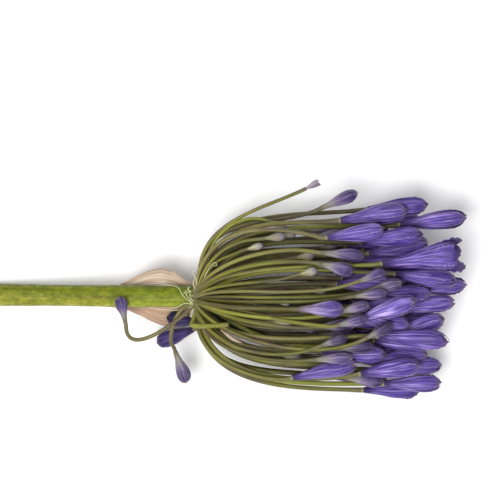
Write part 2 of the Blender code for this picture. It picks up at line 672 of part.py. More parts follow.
def main():
    clear_scene()
    florets, resting = lay_out()
    stem = make_stem()
    grown_on = [make_knob(), make_stalk(STUB, STUB_RADII, "stub")]
    outer_points = florets.stalk_points()
    inner_points = florets.stalk_points(INNER_BASIS)
    hook_points = florets.stalk_points(HOOK_BASIS)
    off_axis = np.linalg.norm(florets.foot[:, 1:], axis=1)
    number = 0
    for i in range(florets.count):
        if florets.foot[i][0] < 0.0:
            points = hook_points[i]
        elif off_axis[i] < INNER_REACH:
            points = inner_points[i]
        else:
            points = outer_points[i]
        grown_on.append(make_stalk(points, stalk_radii(florets.kind[i], len(points)), i))
        if florets.kind[i] != MATURE:
            grown_on.append(make_grafted(florets, i))
            continue
        number += 1
        make_bud(florets, i, f"bud_{number:02d}", i in resting)
    fuse(stem, grown_on)
    make_bract()


main()
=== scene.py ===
"""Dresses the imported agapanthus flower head.

Every bud gets six overlapping petals that rise out of a short tube, and the parted one its stamens. Every
stalk is a smooth curve that swells into its bud, the stem is ridged and mottled with pith in its cut end,
and the papery bract is thin, rippled and veined. Curly threads and a cut stub stand round the hub, and a
dry shred lies among the stalks. The head lies on a plain pale floor and is seen from straight above.

Lengths are in millimetres from the hub until they become mesh points in metres.
"""

import math

import bmesh
import bpy
import numpy as np
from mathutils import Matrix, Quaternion, Vector


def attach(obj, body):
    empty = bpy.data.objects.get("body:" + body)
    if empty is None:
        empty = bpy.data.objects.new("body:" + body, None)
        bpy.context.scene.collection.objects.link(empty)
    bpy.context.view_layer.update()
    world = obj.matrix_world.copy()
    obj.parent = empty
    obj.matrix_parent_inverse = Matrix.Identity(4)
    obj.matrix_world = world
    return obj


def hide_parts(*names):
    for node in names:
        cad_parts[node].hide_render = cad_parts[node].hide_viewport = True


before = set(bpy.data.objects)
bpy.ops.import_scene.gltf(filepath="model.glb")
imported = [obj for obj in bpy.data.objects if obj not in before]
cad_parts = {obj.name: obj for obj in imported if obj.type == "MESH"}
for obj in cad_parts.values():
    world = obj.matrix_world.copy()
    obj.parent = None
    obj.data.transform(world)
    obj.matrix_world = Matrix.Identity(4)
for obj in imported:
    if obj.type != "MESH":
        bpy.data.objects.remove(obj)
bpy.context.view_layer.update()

MM = 0.001
SHARP_ANGLE = math.radians(50.0)

# Where the hub, the middle of the knob that all the stalks leave, stands above the surface.
HUB = np.array((-13.3, -3.33, 28.5))

# Stem and knob
STEM_LENGTH = 106.0
STEM_DRIFT = 0.75
STEM_RADIUS_CUT = 5.4
KNOB_RADIUS = 6.3
KNOB_LENGTH = 6.8
FLAT_DEPTH = 0.6

# Stalks
THICKEST_STALK = 1.08
STALK_SWELL = 0.22
STALK_STEPS = 7
NECK = 2.4
JOINT_GAP = 0.3
ROOT_DEPTH = 2.0
NEAR_SIDE = (8.0, 24.0)
NEAR_SHIFT = np.array((-0.9, -0.25, 0.75))
LEAVING_LEAST = 6.0
LEAVING_PER_MM = 2.15
LEAVING_MOST = 96.0
LIFT_BY_DISTANCE = 0.26
LIFT_BY_SPREAD = 0.42
BEND_BY_DISTANCE = 0.34
SWAY = 2.2

# Buds: how the width runs from the foot, at 0, to the tip, at 1
PROFILE_AT = np.array((0.0, 0.13, 0.27, 0.45, 0.6, 0.73, 0.86, 0.95, 1.0))
PROFILE = np.array((0.34, 0.47, 0.64, 0.86, 0.97, 1.0, 0.83, 0.5, 0.13))
SMALL_PROFILE = np.array((0.36, 0.4, 0.52, 0.78, 0.95, 1.0, 0.84, 0.52, 0.14))
PARTED_PROFILE = np.array((0.26, 0.29, 0.36, 0.6, 0.8, 0.93, 1.0, 0.97, 0.86))
BUD_SPIN = 1.1

# Bract
BRACT_DROP = 6.7
BRACT_DROOP = -0.7
BRACT_AT = (-51.0, -44.0, -36.0, -28.0, -20.0, -12.5, -6.5)
BRACT_LOWER = (-5.0, -6.0, -7.5, -11.0, -14.5, -14.0, -9.5)
BRACT_UPPER = (-2.8, 3.5, 8.0, 12.0, 14.0, 12.0, 7.5)
BRACT_CURL = (17.0, 17.0, 17.0, 17.0, 17.0, 16.0, 10.8)

MATURE, MEDIUM, YOUNG, SPENT = "mature", "medium", "young", "spent"
STALK_RADII = {MATURE: THICKEST_STALK, MEDIUM: 0.95, YOUNG: 0.85, SPENT: 0.9}

# A stalk cut short beside the hub
STUB = ((-1.5, -4.5, 2.5), (-3.0, -10.5, 5.5), (-3.6, -13.8, 10.0), (3.0, -14.2, 14.5), (14.5, -13.4, 18.0))
STUB_RADII = (1.1, 1.1, 1.15, 1.2, 1.35)

# The florets that show, measured from the hub: kind, foot of the bud, its tip, greatest width, and
# where a stalk has a bend of its own, the two points that steer it.
SEEN = (
    (MATURE, (63.0, 29.5, 18.0), (92.0, 33.5, 16.5), 9.0, (2.0, 38.0, 12.0), (35.0, 37.0, 22.0)),
    (MATURE, (90.0, 17.0, 24.0), (131.0, 22.0, 22.0), 14.8, None, None),
    (MATURE, (70.0, 38.0, 7.0), (104.0, 43.5, 5.0), 10.0, None, None),
    (MATURE, (100.0, 34.5, 2.0), (133.5, 40.0, 0.0), 9.6, None, None),
    (MATURE, (97.0, 11.5, 12.0), (127.5, 8.5, 13.0), 9.6, None, None),
    (MATURE, (102.5, 3.5, 3.0), (133.5, 4.5, 3.0), 9.0, None, None),
    (MATURE, (49.0, -5.5, 31.0), (71.5, -5.5, 32.5), 8.4, None, None),
    (MATURE, (79.0, -10.5, 25.0), (107.0, -1.0, 27.0), 9.2, None, None),
    (MATURE, (78.0, -9.0, 11.0), (105.0, -14.0, 14.0), 9.0, None, None),
    (MATURE, (88.5, -20.0, 16.0), (123.5, -21.5, 16.0), 10.0, None, None),
    (MATURE, (46.0, -40.5, 9.0), (78.0, -33.0, 13.0), 8.8, (-6.0, -32.0, 6.0), (28.0, -42.5, 9.0)),
    (MATURE, (80.0, -37.5, 9.0), (110.0, -33.0, 10.0), 10.0, None, None),
    (MATURE, (92.0, -41.0, -1.0), (121.0, -40.5, -2.0), 9.0, None, None),
    (MATURE, (82.0, -46.0, -10.0), (111.0, -46.5, -11.0), 9.0, None, None),
    (MATURE, (86.0, -31.0, 1.0), (114.0, -29.0, 2.0), 8.6, None, None),
    (MATURE, (95.0, -17.0, 4.0), (121.0, -8.0, 6.0), 9.0, None, None),
    (MATURE, (94.0, -12.0, -6.0), (122.0, -14.0, -6.0), 8.6, None, None),
    (MEDIUM, (-37.5, -12.0, -1.0), (-40.0, 0.5, 1.2), 6.4, (-14.0, -16.0, 8.0), (-37.0, -30.0, 0.0)),
    (MEDIUM, (-12.5, -27.5, -6.0), (-6.8, -43.5, -11.0), 7.0, (-15.0, -9.0, 4.0), (-16.5, -21.5, -1.0)),
    (MEDIUM, (60.0, 22.0, 24.0), (81.5, 20.0, 25.0), 6.6, None, None),
    (MEDIUM, (59.5, 16.5, 29.0), (76.0, 13.0, 30.0), 7.0, None, None),
    (MEDIUM, (60.0, 44.0, 3.0), (79.0, 52.5, 2.0), 6.6, None, None),
    (MEDIUM, (78.0, 8.0, 29.0), (92.0, 13.0, 30.0), 6.0, None, None),
    (MEDIUM, (83.0, 3.5, 22.0), (100.0, 7.5, 22.5), 6.6, None, None),
    (MEDIUM, (76.0, 0.5, 27.0), (92.5, 2.5, 27.5), 6.0, None, None),
    (MEDIUM, (69.0, -7.0, 26.0), (84.0, -3.0, 27.0), 6.2, None, None),
    (MEDIUM, (67.5, -13.5, 30.0), (82.5, -10.0, 31.5), 6.0, (16.0, -7.0, 22.0), (45.0, -12.5, 30.0)),
    (MEDIUM, (82.0, -19.5, 24.0), (95.5, -13.0, 25.0), 6.2, None, None),
    (MEDIUM, (60.0, -24.0, 24.0), (72.5, -19.0, 26.0), 5.8, None, None),
    (MEDIUM, (67.5, -25.5, 18.0), (86.5, -23.0, 19.0), 7.0, None, None),
    (MEDIUM, (56.5, -30.5, 19.0), (76.0, -28.5, 20.0), 6.2, None, None),
    (MEDIUM, (72.5, -40.5, 3.0), (92.0, -42.5, 2.0), 7.4, None, None),
    (YOUNG, (31.5, 28.5, 16.0), (42.5, 30.5, 17.0), 4.2, None, None),
    (YOUNG, (35.0, 37.5, 6.0), (43.0, 34.5, 7.0), 4.4, None, None),
    (YOUNG, (23.0, 24.0, 15.0), (31.5, 26.5, 16.0), 3.8, None, None),
    (YOUNG, (49.0, 11.5, 29.0), (58.0, 13.5, 30.0), 4.4, None, None),
    (SPENT, (52.5, 54.0, 3.0), (59.5, 57.5, 3.0), 3.6, (-3.0, 37.0, 8.0), (24.0, 41.0, 6.0)),
    (MATURE, (-1.0, -13.5, -8.5), (-17.0, -10.0, -6.0), 7.4, (4.0, -8.0, -6.0), (7.0, -14.0, -9.0)),
    (MATURE, (-3.5, -16.5, -14.0), (-22.5, -23.5, -20.0), 8.4, (3.0, -8.0, -9.0), (5.0, -13.0, -12.0)),
)

# The one of them whose petals have begun to part at the tip
PARTED = 1

# The two low buds that the head rests on lie level, a flat's depth into the surface.
REST_WIDTH = 9.4
REST_HEIGHT = -HUB[2] + REST_WIDTH / 2 - FLAT_DEPTH
RESTING = (
    (MATURE, (74.0, 25.0, REST_HEIGHT), (106.0, 27.0, REST_HEIGHT), REST_WIDTH, None, None),
    (MATURE, (70.0, -22.0, REST_HEIGHT), (102.0, -25.0, REST_HEIGHT), REST_WIDTH, None, None),
)

# The florets underneath and within, placed by rule
SEED = 41
GOLDEN_ANGLE = math.pi * (3.0 - math.sqrt(5.0))
HIDDEN_MATURE = 36
HIDDEN_MEDIUM = 7
HIDDEN_YOUNG = 12
INNER_HALF_WIDTH = 44.0
INNER_HALF_HEIGHT = 19.5
INNER_MIDDLE = -4.5
FRONT_TIERS = (128.0, 120.0, 106.0)
MEDIUM_TIER = 84.0
TIER_ROUNDING = 13.0
TIER_SPREAD = 3.0
FLARE = 0.0045
LEAN = 0.08
MATURE_LENGTHS = (28.5, 33.5)
MATURE_WIDTHS = (8.6, 9.8)
MEDIUM_LENGTHS = (17.0, 21.0)
MEDIUM_WIDTHS = (6.2, 7.2)
YOUNG_LENGTHS = (7.5, 10.5)
YOUNG_SLIMNESS = 0.44
YOUNG_FEET = (34.0, 62.0)
YOUNG_ABOVE = 28.0
YOUNG_BELOW = 22.0
YOUNG_CORE = 2.0
YOUNG_TURN = 1.3
SPREAD_AT_HUB = 0.52
SPREAD_PER_MM = 0.007

# Moving the florets clear of each other
CLEARANCE = 0.42
RELAX_STEPS = 160
HELD_SHARE = 0.6
HOLD_SEEN = 0.05
HOLD_HIDDEN = 0.01
RELAX_PACE = 0.5
MOST_MOVE = 1.2
FLOOR_CLEARANCE = 0.6
WATCH_STEPS = 8
WATCH_REACH = 17.0
PROBES = np.linspace(0.0, 1.0, 11)
LEAST_SHARE = 0.05
TINY = 1e-6


def unit(vectors):
    return vectors / np.linalg.norm(vectors, axis=-1, keepdims=True)


def width_at(along):
    """Share of the greatest radius, at a share of the bud's length."""
    return np.interp(along, PROFILE_AT, PROFILE)


def hidden_florets():
    """Mature and half-grown buds spread by the golden angle through the head, and young ones nearer
    the hub."""
    draw = np.random.default_rng(SEED)
    rows = []
    grown = HIDDEN_MATURE + HIDDEN_MEDIUM
    every = grown // HIDDEN_MEDIUM
    for k in range(grown):
        out = math.sqrt((k + 0.5) / grown)
        turn = k * GOLDEN_ANGLE
        y = INNER_HALF_WIDTH * out * math.cos(turn)
        z = INNER_MIDDLE + INNER_HALF_HEIGHT * out * math.sin(turn)
        medium = k % every == every // 2
        length = draw.uniform(*(MEDIUM_LENGTHS if medium else MATURE_LENGTHS))
        width = draw.uniform(*(MEDIUM_WIDTHS if medium else MATURE_WIDTHS))
        tier = MEDIUM_TIER if medium else FRONT_TIERS[k % len(FRONT_TIERS)]
        tip_x = tier - TIER_ROUNDING * out**2 + draw.uniform(-TIER_SPREAD, TIER_SPREAD)
        lean = draw.uniform(-LEAN, LEAN, 2)
        flare = FLARE * np.array((y / 2, z - INNER_MIDDLE))
        heading = unit(np.array((1.0, flare[0] + lean[0], flare[1] + lean[1])))
        tip = np.array((tip_x, y, z)) + heading * (0.0, 0.5, 0.5) * length
        kind = MEDIUM if medium else MATURE
        rows.append((kind, tuple(tip - heading * length), tuple(tip), width, None, None))
    for k in range(HIDDEN_YOUNG):
        out = math.sqrt((k + YOUNG_CORE) / (HIDDEN_YOUNG + YOUNG_CORE))
        turn = k * GOLDEN_ANGLE + YOUNG_TURN
        foot_x = draw.uniform(*YOUNG_FEET)
        spread = SPREAD_AT_HUB + SPREAD_PER_MM * foot_x
        y = INNER_HALF_WIDTH * spread * out * math.cos(turn)
        z = (YOUNG_ABOVE if math.sin(turn) > 0 else YOUNG_BELOW) * spread * out * math.sin(turn)
        length = draw.uniform(*YOUNG_LENGTHS)
        heading = unit(np.array((1.0, FLARE * y + draw.uniform(-LEAN, LEAN), FLARE * z)))
        foot = np.array((foot_x, y, z))
        width = YOUNG_SLIMNESS * length
        rows.append((YOUNG, tuple(foot), tuple(foot + heading * length), width, None, None))
    return rows


class Florets:
    """All florets as arrays, in millimetres from the hub: each stalk is a cubic curve from its root
    to the neck, then a short straight neck, then the bud from foot to tip."""

    def __init__(self, rows):
        self.kind = [row[0] for row in rows]
        self.foot = np.array([row[1] for row in rows])
        self.tip = np.array([row[2] for row in rows])
        self.radius = np.array([row[3] for row in rows]) / 2
        self.length = np.linalg.norm(self.tip - self.foot, axis=1)
        self.count = len(rows)
        draw = np.random.default_rng(SEED + 1)
        sway = draw.uniform(-SWAY, SWAY, (2, self.count, 3))
        distance = np.linalg.norm(self.foot, axis=1)
        off_axis = np.linalg.norm(self.foot[:, 1:], axis=1)
        leaving = np.radians(np.minimum(LEAVING_LEAST + LEAVING_PER_MM * off_axis, LEAVING_MOST))
        side = self.foot[:, 1:] / off_axis[:, None]
        heading = np.column_stack((np.cos(leaving), np.sin(leaving)[:, None] * side))
        for i, row in enumerate(rows):
            if row[4] is not None:
                heading[i] = unit(np.array(row[4]))
        knob = np.array((KNOB_LENGTH, KNOB_RADIUS, KNOB_RADIUS))
        nearness = np.clip(np.interp(self.foot[:, 2], NEAR_SIDE, (0.0, 1.0)), 0.0, 1.0)
        leaves_at = unit(heading + nearness[:, None] * NEAR_SHIFT)
        surface = leaves_at / np.linalg.norm(leaves_at / knob, axis=1, keepdims=True)
        self.root = surface - ROOT_DEPTH * heading
        reach = LIFT_BY_DISTANCE * distance + LIFT_BY_SPREAD * off_axis
        self.lift = self.root + heading * reach[:, None] + sway[0]
        along = unit(self.tip - self.foot)
        self.bend = self.foot - along * (BEND_BY_DISTANCE * distance)[:, None] + sway[1]
        for i, row in enumerate(rows):
            if row[4] is not None:
                self.lift[i] = row[4]
                self.bend[i] = row[5]

    def stalk_points(self, basis=None):
        """Points along every stalk: the curve's steps to the neck, then the stalk's end at the bud."""
        basis = BASIS if basis is None else basis
        along = unit(self.tip - self.foot)
        neck = self.foot - along * NECK
        end = self.foot - along * JOINT_GAP
        controls = np.stack((self.root, self.lift, self.bend, neck), axis=1)
        return np.concatenate((np.einsum("tk,nkx->ntx", basis, controls), end[:, None]), axis=1)


def cubic_basis(steps):
    t = np.linspace(0.0, 1.0, steps + 1)
    s = 1.0 - t
    return np.column_stack((s**3, 3 * s**2 * t, 3 * s * t**2, t**3))


BASIS = cubic_basis(STALK_STEPS)


def nearest(points, starts, runs):
    """For matching rows, how far along each run lies its nearest place to the point, as a share, and
    the way from there to the point."""
    offset = points - starts
    at = (offset * runs).sum(axis=-1) / np.maximum((runs**2).sum(axis=-1), TINY)
    at = np.clip(at, 0.0, 1.0)
    return at, offset - runs * at[..., None]


def close_pairs(points, owners, starts, runs, run_owners):
    """Pairs of a point and a run of different florets that lie near enough to be watched."""
    _, apart = nearest(points[:, None], starts[None], runs[None])
    near = (apart**2).sum(axis=2) < WATCH_REACH**2
    near[owners[:, None] == run_owners[None]] = False
    return np.nonzero(near)


def relax(florets, fixed):
    """Moves florets apart until every bud is clear of every other bud and of every other stalk. The
    first steps pull each floret back towards its own place, the last ones only part them."""
    n = florets.count
    own = np.arange(n)
    rest = [florets.lift.copy(), florets.bend - florets.foot, florets.foot.copy(), florets.tip.copy()]
    free = np.ones(n)
    free[fixed] = 0.0
    hold = np.where(own < len(SEEN), HOLD_SEEN, HOLD_HIDDEN)
    weights = np.vstack((BASIS, (0.0, 0.0, 0.0, 1.0)))
    segments = STALK_STEPS + 1
    bud_of = np.repeat(own, len(PROBES))
    probe_of = np.tile(PROBES, n)
    stalk_of = np.repeat(own, segments)
    step_of = np.tile(np.arange(segments), n)
    probe_radius = florets.radius[bud_of] * width_at(probe_of)
    stalk_radius = THICKEST_STALK + STALK_SWELL
    for step in range(RELAX_STEPS):
        push = [np.zeros((n, 3)) for _ in range(4)]

        def push_bud(which, at, vectors):
            share = at**2 + (1.0 - at) ** 2
            np.add.at(push[2], which, vectors * ((1.0 - at) / share)[:, None])
            np.add.at(push[3], which, vectors * (at / share)[:, None])

        axis = florets.tip - florets.foot
        spots = florets.foot[bud_of] + axis[bud_of] * probe_of[:, None]
        points = florets.stalk_points()
        starts = points[:, :-1].reshape(-1, 3)
        runs = points[:, 1:].reshape(-1, 3) - starts
        if step % WATCH_STEPS == 0:
            bud_pairs = close_pairs(spots, bud_of, florets.foot, axis, own)
            stalk_pairs = close_pairs(spots, bud_of, starts, runs, stalk_of)

        # Buds against buds
        spot, other = bud_pairs
        at, apart = nearest(spots[spot], florets.foot[other], axis[other])
        distance = np.linalg.norm(apart, axis=1)
        need = probe_radius[spot] + florets.radius[other] * width_at(at) + CLEARANCE
        hit = np.nonzero(distance < need)[0]
        vectors = apart[hit] * (0.5 * (need[hit] / np.maximum(distance[hit], TINY) - 1.0))[:, None]
        push_bud(bud_of[spot[hit]], probe_of[spot[hit]], vectors)
        push_bud(other[hit], at[hit], -vectors)

        # Buds against the other florets' stalks
        spot, run = stalk_pairs
        at, apart = nearest(spots[spot], starts[run], runs[run])
        distance = np.linalg.norm(apart, axis=1)
        need = probe_radius[spot] + stalk_radius + CLEARANCE
        hit = np.nonzero(distance < need)[0]
        vectors = apart[hit] * (0.5 * (need[hit] / np.maximum(distance[hit], TINY) - 1.0))[:, None]
        push_bud(bud_of[spot[hit]], probe_of[spot[hit]], vectors)
        first = step_of[run[hit]]
        share = weights[first] * (1.0 - at[hit])[:, None] + weights[first + 1] * at[hit][:, None]
        share = share[:, 1:] / np.maximum((share[:, 1:] ** 2).sum(axis=1, keepdims=True), LEAST_SHARE)
        for k in range(3):
            np.add.at(push[k], stalk_of[run[hit]], -vectors * share[:, k : k + 1])

        # Buds above the surface
        low = -HUB[2] + FLOOR_CLEARANCE + probe_radius - spots[:, 2]
        under = np.nonzero(low > 0.0)[0]
        push_bud(bud_of[under], probe_of[under], low[under, None] * np.array((0.0, 0.0, 1.0)))

        pull = np.where(step < HELD_SHARE * RELAX_STEPS, hold, 0.0)[:, None]
        pace = RELAX_PACE * free[:, None]
        moves = [np.clip(pace * p, -MOST_MOVE, MOST_MOVE) for p in push]
        bend_from_foot = florets.bend - florets.foot
        florets.lift += moves[0] + pull * (rest[0] - florets.lift)
        florets.foot += moves[2] + pull * free[:, None] * (rest[2] - florets.foot)
        florets.tip += moves[3] + pull * free[:, None] * (rest[3] - florets.tip)
        florets.bend = florets.foot + bend_from_foot + moves[1] + pull * (rest[1] - bend_from_foot)
        florets.tip = florets.foot + unit(florets.tip - florets.foot) * florets.length[:, None]


def lay_out():
    rows = list(SEEN) + list(RESTING) + hidden_florets()
    florets = Florets(rows)
    fixed = list(range(len(SEEN), len(SEEN) + len(RESTING)))
    relax(florets, fixed)
    return florets, fixed


def stem_axis(x):
    """Middle of the stem, in millimetres from the hub: it runs back and down to the cut end."""
    back = -np.asarray(x, float) / STEM_LENGTH
    fall = HUB[2] - STEM_RADIUS_CUT + FLAT_DEPTH
    return np.stack((np.asarray(x, float), STEM_DRIFT * back, -fall * back), axis=-1)


# Random draws: where those of each kind of part start
STALK_SEED = SEED + 2
THREAD_SEED = SEED + 3
STAMEN_SEED = SEED + 5
BUD_SEED = SEED + 200
OPENING_SEED = SEED + 500

# Waves drawn at random, each a pace and a phase, from the least to the most
SLOW_WAVES = ((3.0, 0.0), (8.0, 6.0))
LONG_WAVES = ((9.0, 0.0), (15.0, 6.0))
FINE_WAVES = ((50.0, 0.0), (68.0, 6.0))

# Petals: how they are cut into rows and columns. The even ones lie outside, the odd ones within them.
# Below, some values are pairs: one for a closed bud, and one for the parted flower.
PETALS = 6
SIXTH = math.pi / 3
PETAL_ROWS = 28
SMALL_PETAL_ROWS = 22
PETAL_START = 0.1
ROW_SHARES = (0.0, 0.36, 1.0)
ROW_AT = (0.0, 0.55, 1.0)
PETAL_ACROSS = np.array((-1, -0.95, -0.82, -0.62, -0.38, -0.15, 0, 0.15, 0.38, 0.62, 0.82, 0.95, 1))

# Petals: half the angle that each takes up round the bud, and how far out it lies, as shares of its width
HALF_AT = np.array((0.1, 0.3, 0.5, 0.7, 0.85, 0.94, 1.0))
OUTER_HALF = np.radians((27, 32, 38, 42, 43, 42, 38))
INNER_HALF = np.radians((27, 30, 33, 35, 36, 36, 34))
PARTED_HALF = np.radians((27, 31, 36, 39, 40, 38, 34))
LEVEL_AT = (0.1, 0.2, 0.35, 0.6, 1.0)
OUTER_LEVEL = (0.95, 0.985, 1.0, 1.0, 1.0)
INNER_LEVEL = (0.94, 0.975, 0.965, 0.945, 0.93)
BLUNTER_TIP = np.array((0.0, 0.0, 0.0, 0.0, 0.0, 0.0, 0.02, 0.09, 0.0))
TIP_PINCH = (0.08, 0.0)
PINCH_SPAN = (0.75, 0.95)
MOST_TWIST = 0.22

# Petals: thickness, at a bud of the usual radius, and what the rim and the inner side have of it
PETAL_THICKNESS = 0.3
USUAL_RADIUS = 4.6
THINNER_RIM = 0.65
LEAST_INSIDE = 0.25

# Petals: ribs and veins, which rise along one stretch and fade along another
RIB_DEPTH = 0.07
RIB_WIDTH = 0.12
VEIN_DEPTH = 0.03
VEIN_WIDTH = 0.14
VEIN_PLACE = 0.5
RIB_RISE = (0.15, 0.35)
RIB_FADE = (0.82, 1.0)

# Petals: the rim, which lifts, ripples and frays, most of all late along the petal. Its waves run
# slantwise: each slant is how far a wave is turned between the petal's middle and its rim.
RIM_SPAN = (0.7, 1.0)
LATE_SPAN = (0.55, 0.9)
RIM_LIFT = 0.05
LIFT_SPAN = (0.25, 0.5)
RIPPLE = 0.05
CRINKLE = (0.05, 0.075)
FRAY = (0.12, 0.066)
SLOWER_FRAY = 0.43
FASTER_CRINKLE = 1.2
FASTER_LIFT = 1.3
LIFT_EVEN = 0.6
LIFT_UNEVEN = 0.4
RIPPLE_SLANT = 2.0
FRAY_SLANT = 3.0
CRINKLE_SLANT = 4.0
INNER_FREE = (0.0, 0.4)

# Petals: the end, rounded round a place that leans to one side, torn, and shorter on some petals. On the
# parted flower the upper petals end earlier, so that the far ones show beyond them.
ROUND_END = 0.08
ROUND_POWER = 2.2
END_LEAN = 0.25
TORN = 0.016
TORN_PACES = (7.0, 4.0)
SHORTER_BY_CHANCE = 0.035
INNER_SHORTER = 0.012
UPPER_SHORTER = 0.085
UPPER_SPAN = (-0.1, 0.6)

# Petals: the gap below their ends, as a share of the bud's radius, and how the tips close over it
GAP = (0.11, 0.26)
OUTER_GAP = (0.0, 0.05)
INNER_GAP = (0.5, 0.15)
GAP_SPAN = (0.7, 0.9)
CLOSED_TIP = (0.85, 0.0)
CLOSED_SPAN = (0.82, 0.96)
MOST_OPENING = 0.2
OPENING_POWER = 1.5

# The tube and the core inside the petals
CORE_ROWS = 12
CORE_SIDES = 24
CORE_END = (0.9, 0.62)
CORE_AT = (0.0, 0.2, 0.36, 0.6, 0.8, 0.9)
CORE_LEVEL = (1.0, 1.0, 0.93, 0.88, 0.84, 0.78)
YOUNG_ROWS = 12
YOUNG_SIDES = 18
TUBE_GROOVE = 0.07
GROOVE_POWER = 5
ROUNDED_FOOT = 0.16
FOOT_ROW = 0.025

# Where the patterns of two petals or two florets lie, apart enough to differ
PETAL_KINDS = 4.0
FLORET_KINDS = 10.0

# The short bud in front keeps its cream foot. Some buds have a tone of their own: those painted lighter, with
# painted light and sheen, deep violet ones, and those painted darker, with painted shade, among them the two
# that hang back.
CREAMY = 6
BUD_TONES_WITH_LIGHT_AND_SHADE = {
    0: 0.75, 3: 0.32, 4: 0.27, 7: 0.95, 10: 0.3, 11: 0.25, 13: 0.12, 15: 1.0, 16: 1.0,
    17: 0.16, 19: 0.11, 20: 0.16, 21: 0.18, 22: 0.11, 24: 0.19, 26: 0.13,
    27: 0.07, 28: 0.035, 29: 0.065, 31: 0.13, 37: 0.0, 38: 0.04,
}
# The other buds draw a tone between these; hidden ones keep to the darker tones, painted shade within the
# head.
DARKEST_BY_RULE = 0.12
BRIGHTEST_BY_RULE = 0.8
BRIGHTEST_HIDDEN = 0.42

# The spent stub
SPENT_TONE = 0.35
SPENT_ROWS = 14
SPENT_END = 0.94
SPENT_FOOT = 0.34
SPENT_FLARE = 0.55
SPENT_FLARE_SPAN = (0.05, 0.8)
SPENT_RIBS = 0.1
SPENT_TEAR = 0.1
SPENT_TEAR_SPAN = (0.6, 1.0)
SPENT_TEAR_PACES = (3, 7)

# Stamens of the parted flower: where along it they leave the tube, where they end, how far out they stand,
# how they scatter and wind, and the middle, half length and thickness of the anther on its filament. The
# pistil among them stands nearer the middle and ends thinner.
STAMENS_FROM = 0.6
STAMENS_TO = (0.76, 0.83)
STAMEN_REACH = (0.4, 0.55)
STAMEN_FOOT_REACH = 0.7
STAMEN_LEAN = 0.3
STAMEN_SCATTER = 0.2
STAMEN_WIND = 0.5
STAMEN_SIDES = 8
STAMEN_STEPS = np.concatenate((np.linspace(0.0, 0.84, 12), np.linspace(0.865, 1.0, 9)))
ANTHER_AT = 0.94
ANTHER_HALF = 0.055
FILAMENT = 0.22
ANTHER = 0.38
PISTIL_REACH = 0.1
PISTIL = 0.3
PISTIL_THINNER = 0.12

# Stalks. The tones of those that show go from brown to bright, and those within the head keep to the darkest
# tones, painted shade. Three have a tone of their own: brownish ones that hang back, and a bright one.
FINE_STEPS = 34
FINE_SIDES = 10
WOBBLE = 0.3
INTO_BUD = 0.6
STALK_FLATNESS = 0.07
STALK_SLIMNESS = (0.92, 1.06)
SMALL_SWELL = 0.3
PARTED_SWELL = 0.25
SWELL_SPAN = (0.86, 0.97)
THICKER_FOOT = 0.1
FOOT_SPAN = (0.0, 0.2)
DARKEST_SEEN_STALK = 0.3
BRIGHTEST_HIDDEN_STALK = 0.25
OWN_TONES = {17: 0.82, 18: 0.78, 25: 0.95}
STUB_STEPS = 26
STUB_TONE = 0.95

# Stem and knob: the outline, the runs of rings along it, the ridges that stand round it, and the swellings
# along it. A ridge or swelling has a pace, a phase and a height.
STEM_SIDES = 56
STEM_OUTLINE_AT = (-STEM_LENGTH, -105.8, -100.0, -60.0, -12.0, -6.0, -3.0, -0.5, 2.0, 4.0, 5.8, 6.6)
STEM_OUTLINE = (5.15, 5.4, 5.4, 5.3, 5.25, 5.4, 5.9, 6.1, 5.9, 4.9, 3.1, 0.5)
STEM_RUNS = ((-STEM_LENGTH, -105.5, 4), (-104.5, -12.0, 60), (-10.5, 6.6, 22))
STEM_RIDGES = ((9, 0.5, 0.012), (23, 0.0, 0.008), (2, 0.0, 0.012))
STEM_SWELLINGS = ((0.11, 0.0, 0.12), (0.43, 1.0, 0.05))
STEM_PATTERN_RADIUS = 5.0
PITH_RINGS = np.array((0.05, 0.3, 0.55, 0.78, 0.9))
PITH_SUNK = np.array((0.55, 0.5, 0.4, 0.3, 0.12))

# The fine bract: its size in points and in its pattern, and its ripples, edge and veins
BRACT_ROWS = 64
BRACT_COLUMNS = 40
BRACT_PATTERN = (24.0, 45.0)
BRACT_PAST = (1.0, 2.0)
BRACT_RIPPLE = 0.45
BRACT_RIPPLE_PACE = 0.2125
BRACT_RIPPLE_PHASE = 10.8
BRACT_RIPPLE_SLANT = 5.0
BRACT_EDGE = 0.25
BRACT_EDGE_PACE = 1.1
BRACT_EDGE_SLANT = 3.0
BRACT_WEAVE = 0.12
BRACT_WEAVE_PACE = 0.9
BRACT_VEINS = 11
BRACT_VEIN = 0.06
BRACT_TONE = 0.5
BRACT_HALF_THICKNESS = 0.16
BRACT_THINNER_EDGE = 0.1

# The middle of a papery shred that lies among the stalks, half its width, its groove and turn, and the
# stretch of the bract's pattern that it shows
SHRED = (
    (10.5, -16.0, 16.4), (13.5, -18.2, 16.9), (16.5, -20.4, 17.4), (19.0, -21.6, 17.7), (21.5, -22.4, 18.0),
)
SHRED_HALF = (0.2, 0.65, 0.8, 0.6, 0.12)
SHRED_ROWS = 26
SHRED_COLUMNS = 9
SHRED_GROOVE = 0.22
SHRED_GROOVE_PACE = 3.0 * math.pi
SHRED_TURN = 0.5
SHRED_TURN_PACE = 5.0
SHRED_PATTERN_AT = (12.5, 0.0, 40.0)
SHRED_PATTERN = (3.0, 12.0)
SHRED_GROWTH = (0.6, 0.3)
SHRED_HALF_THICKNESS = 0.07

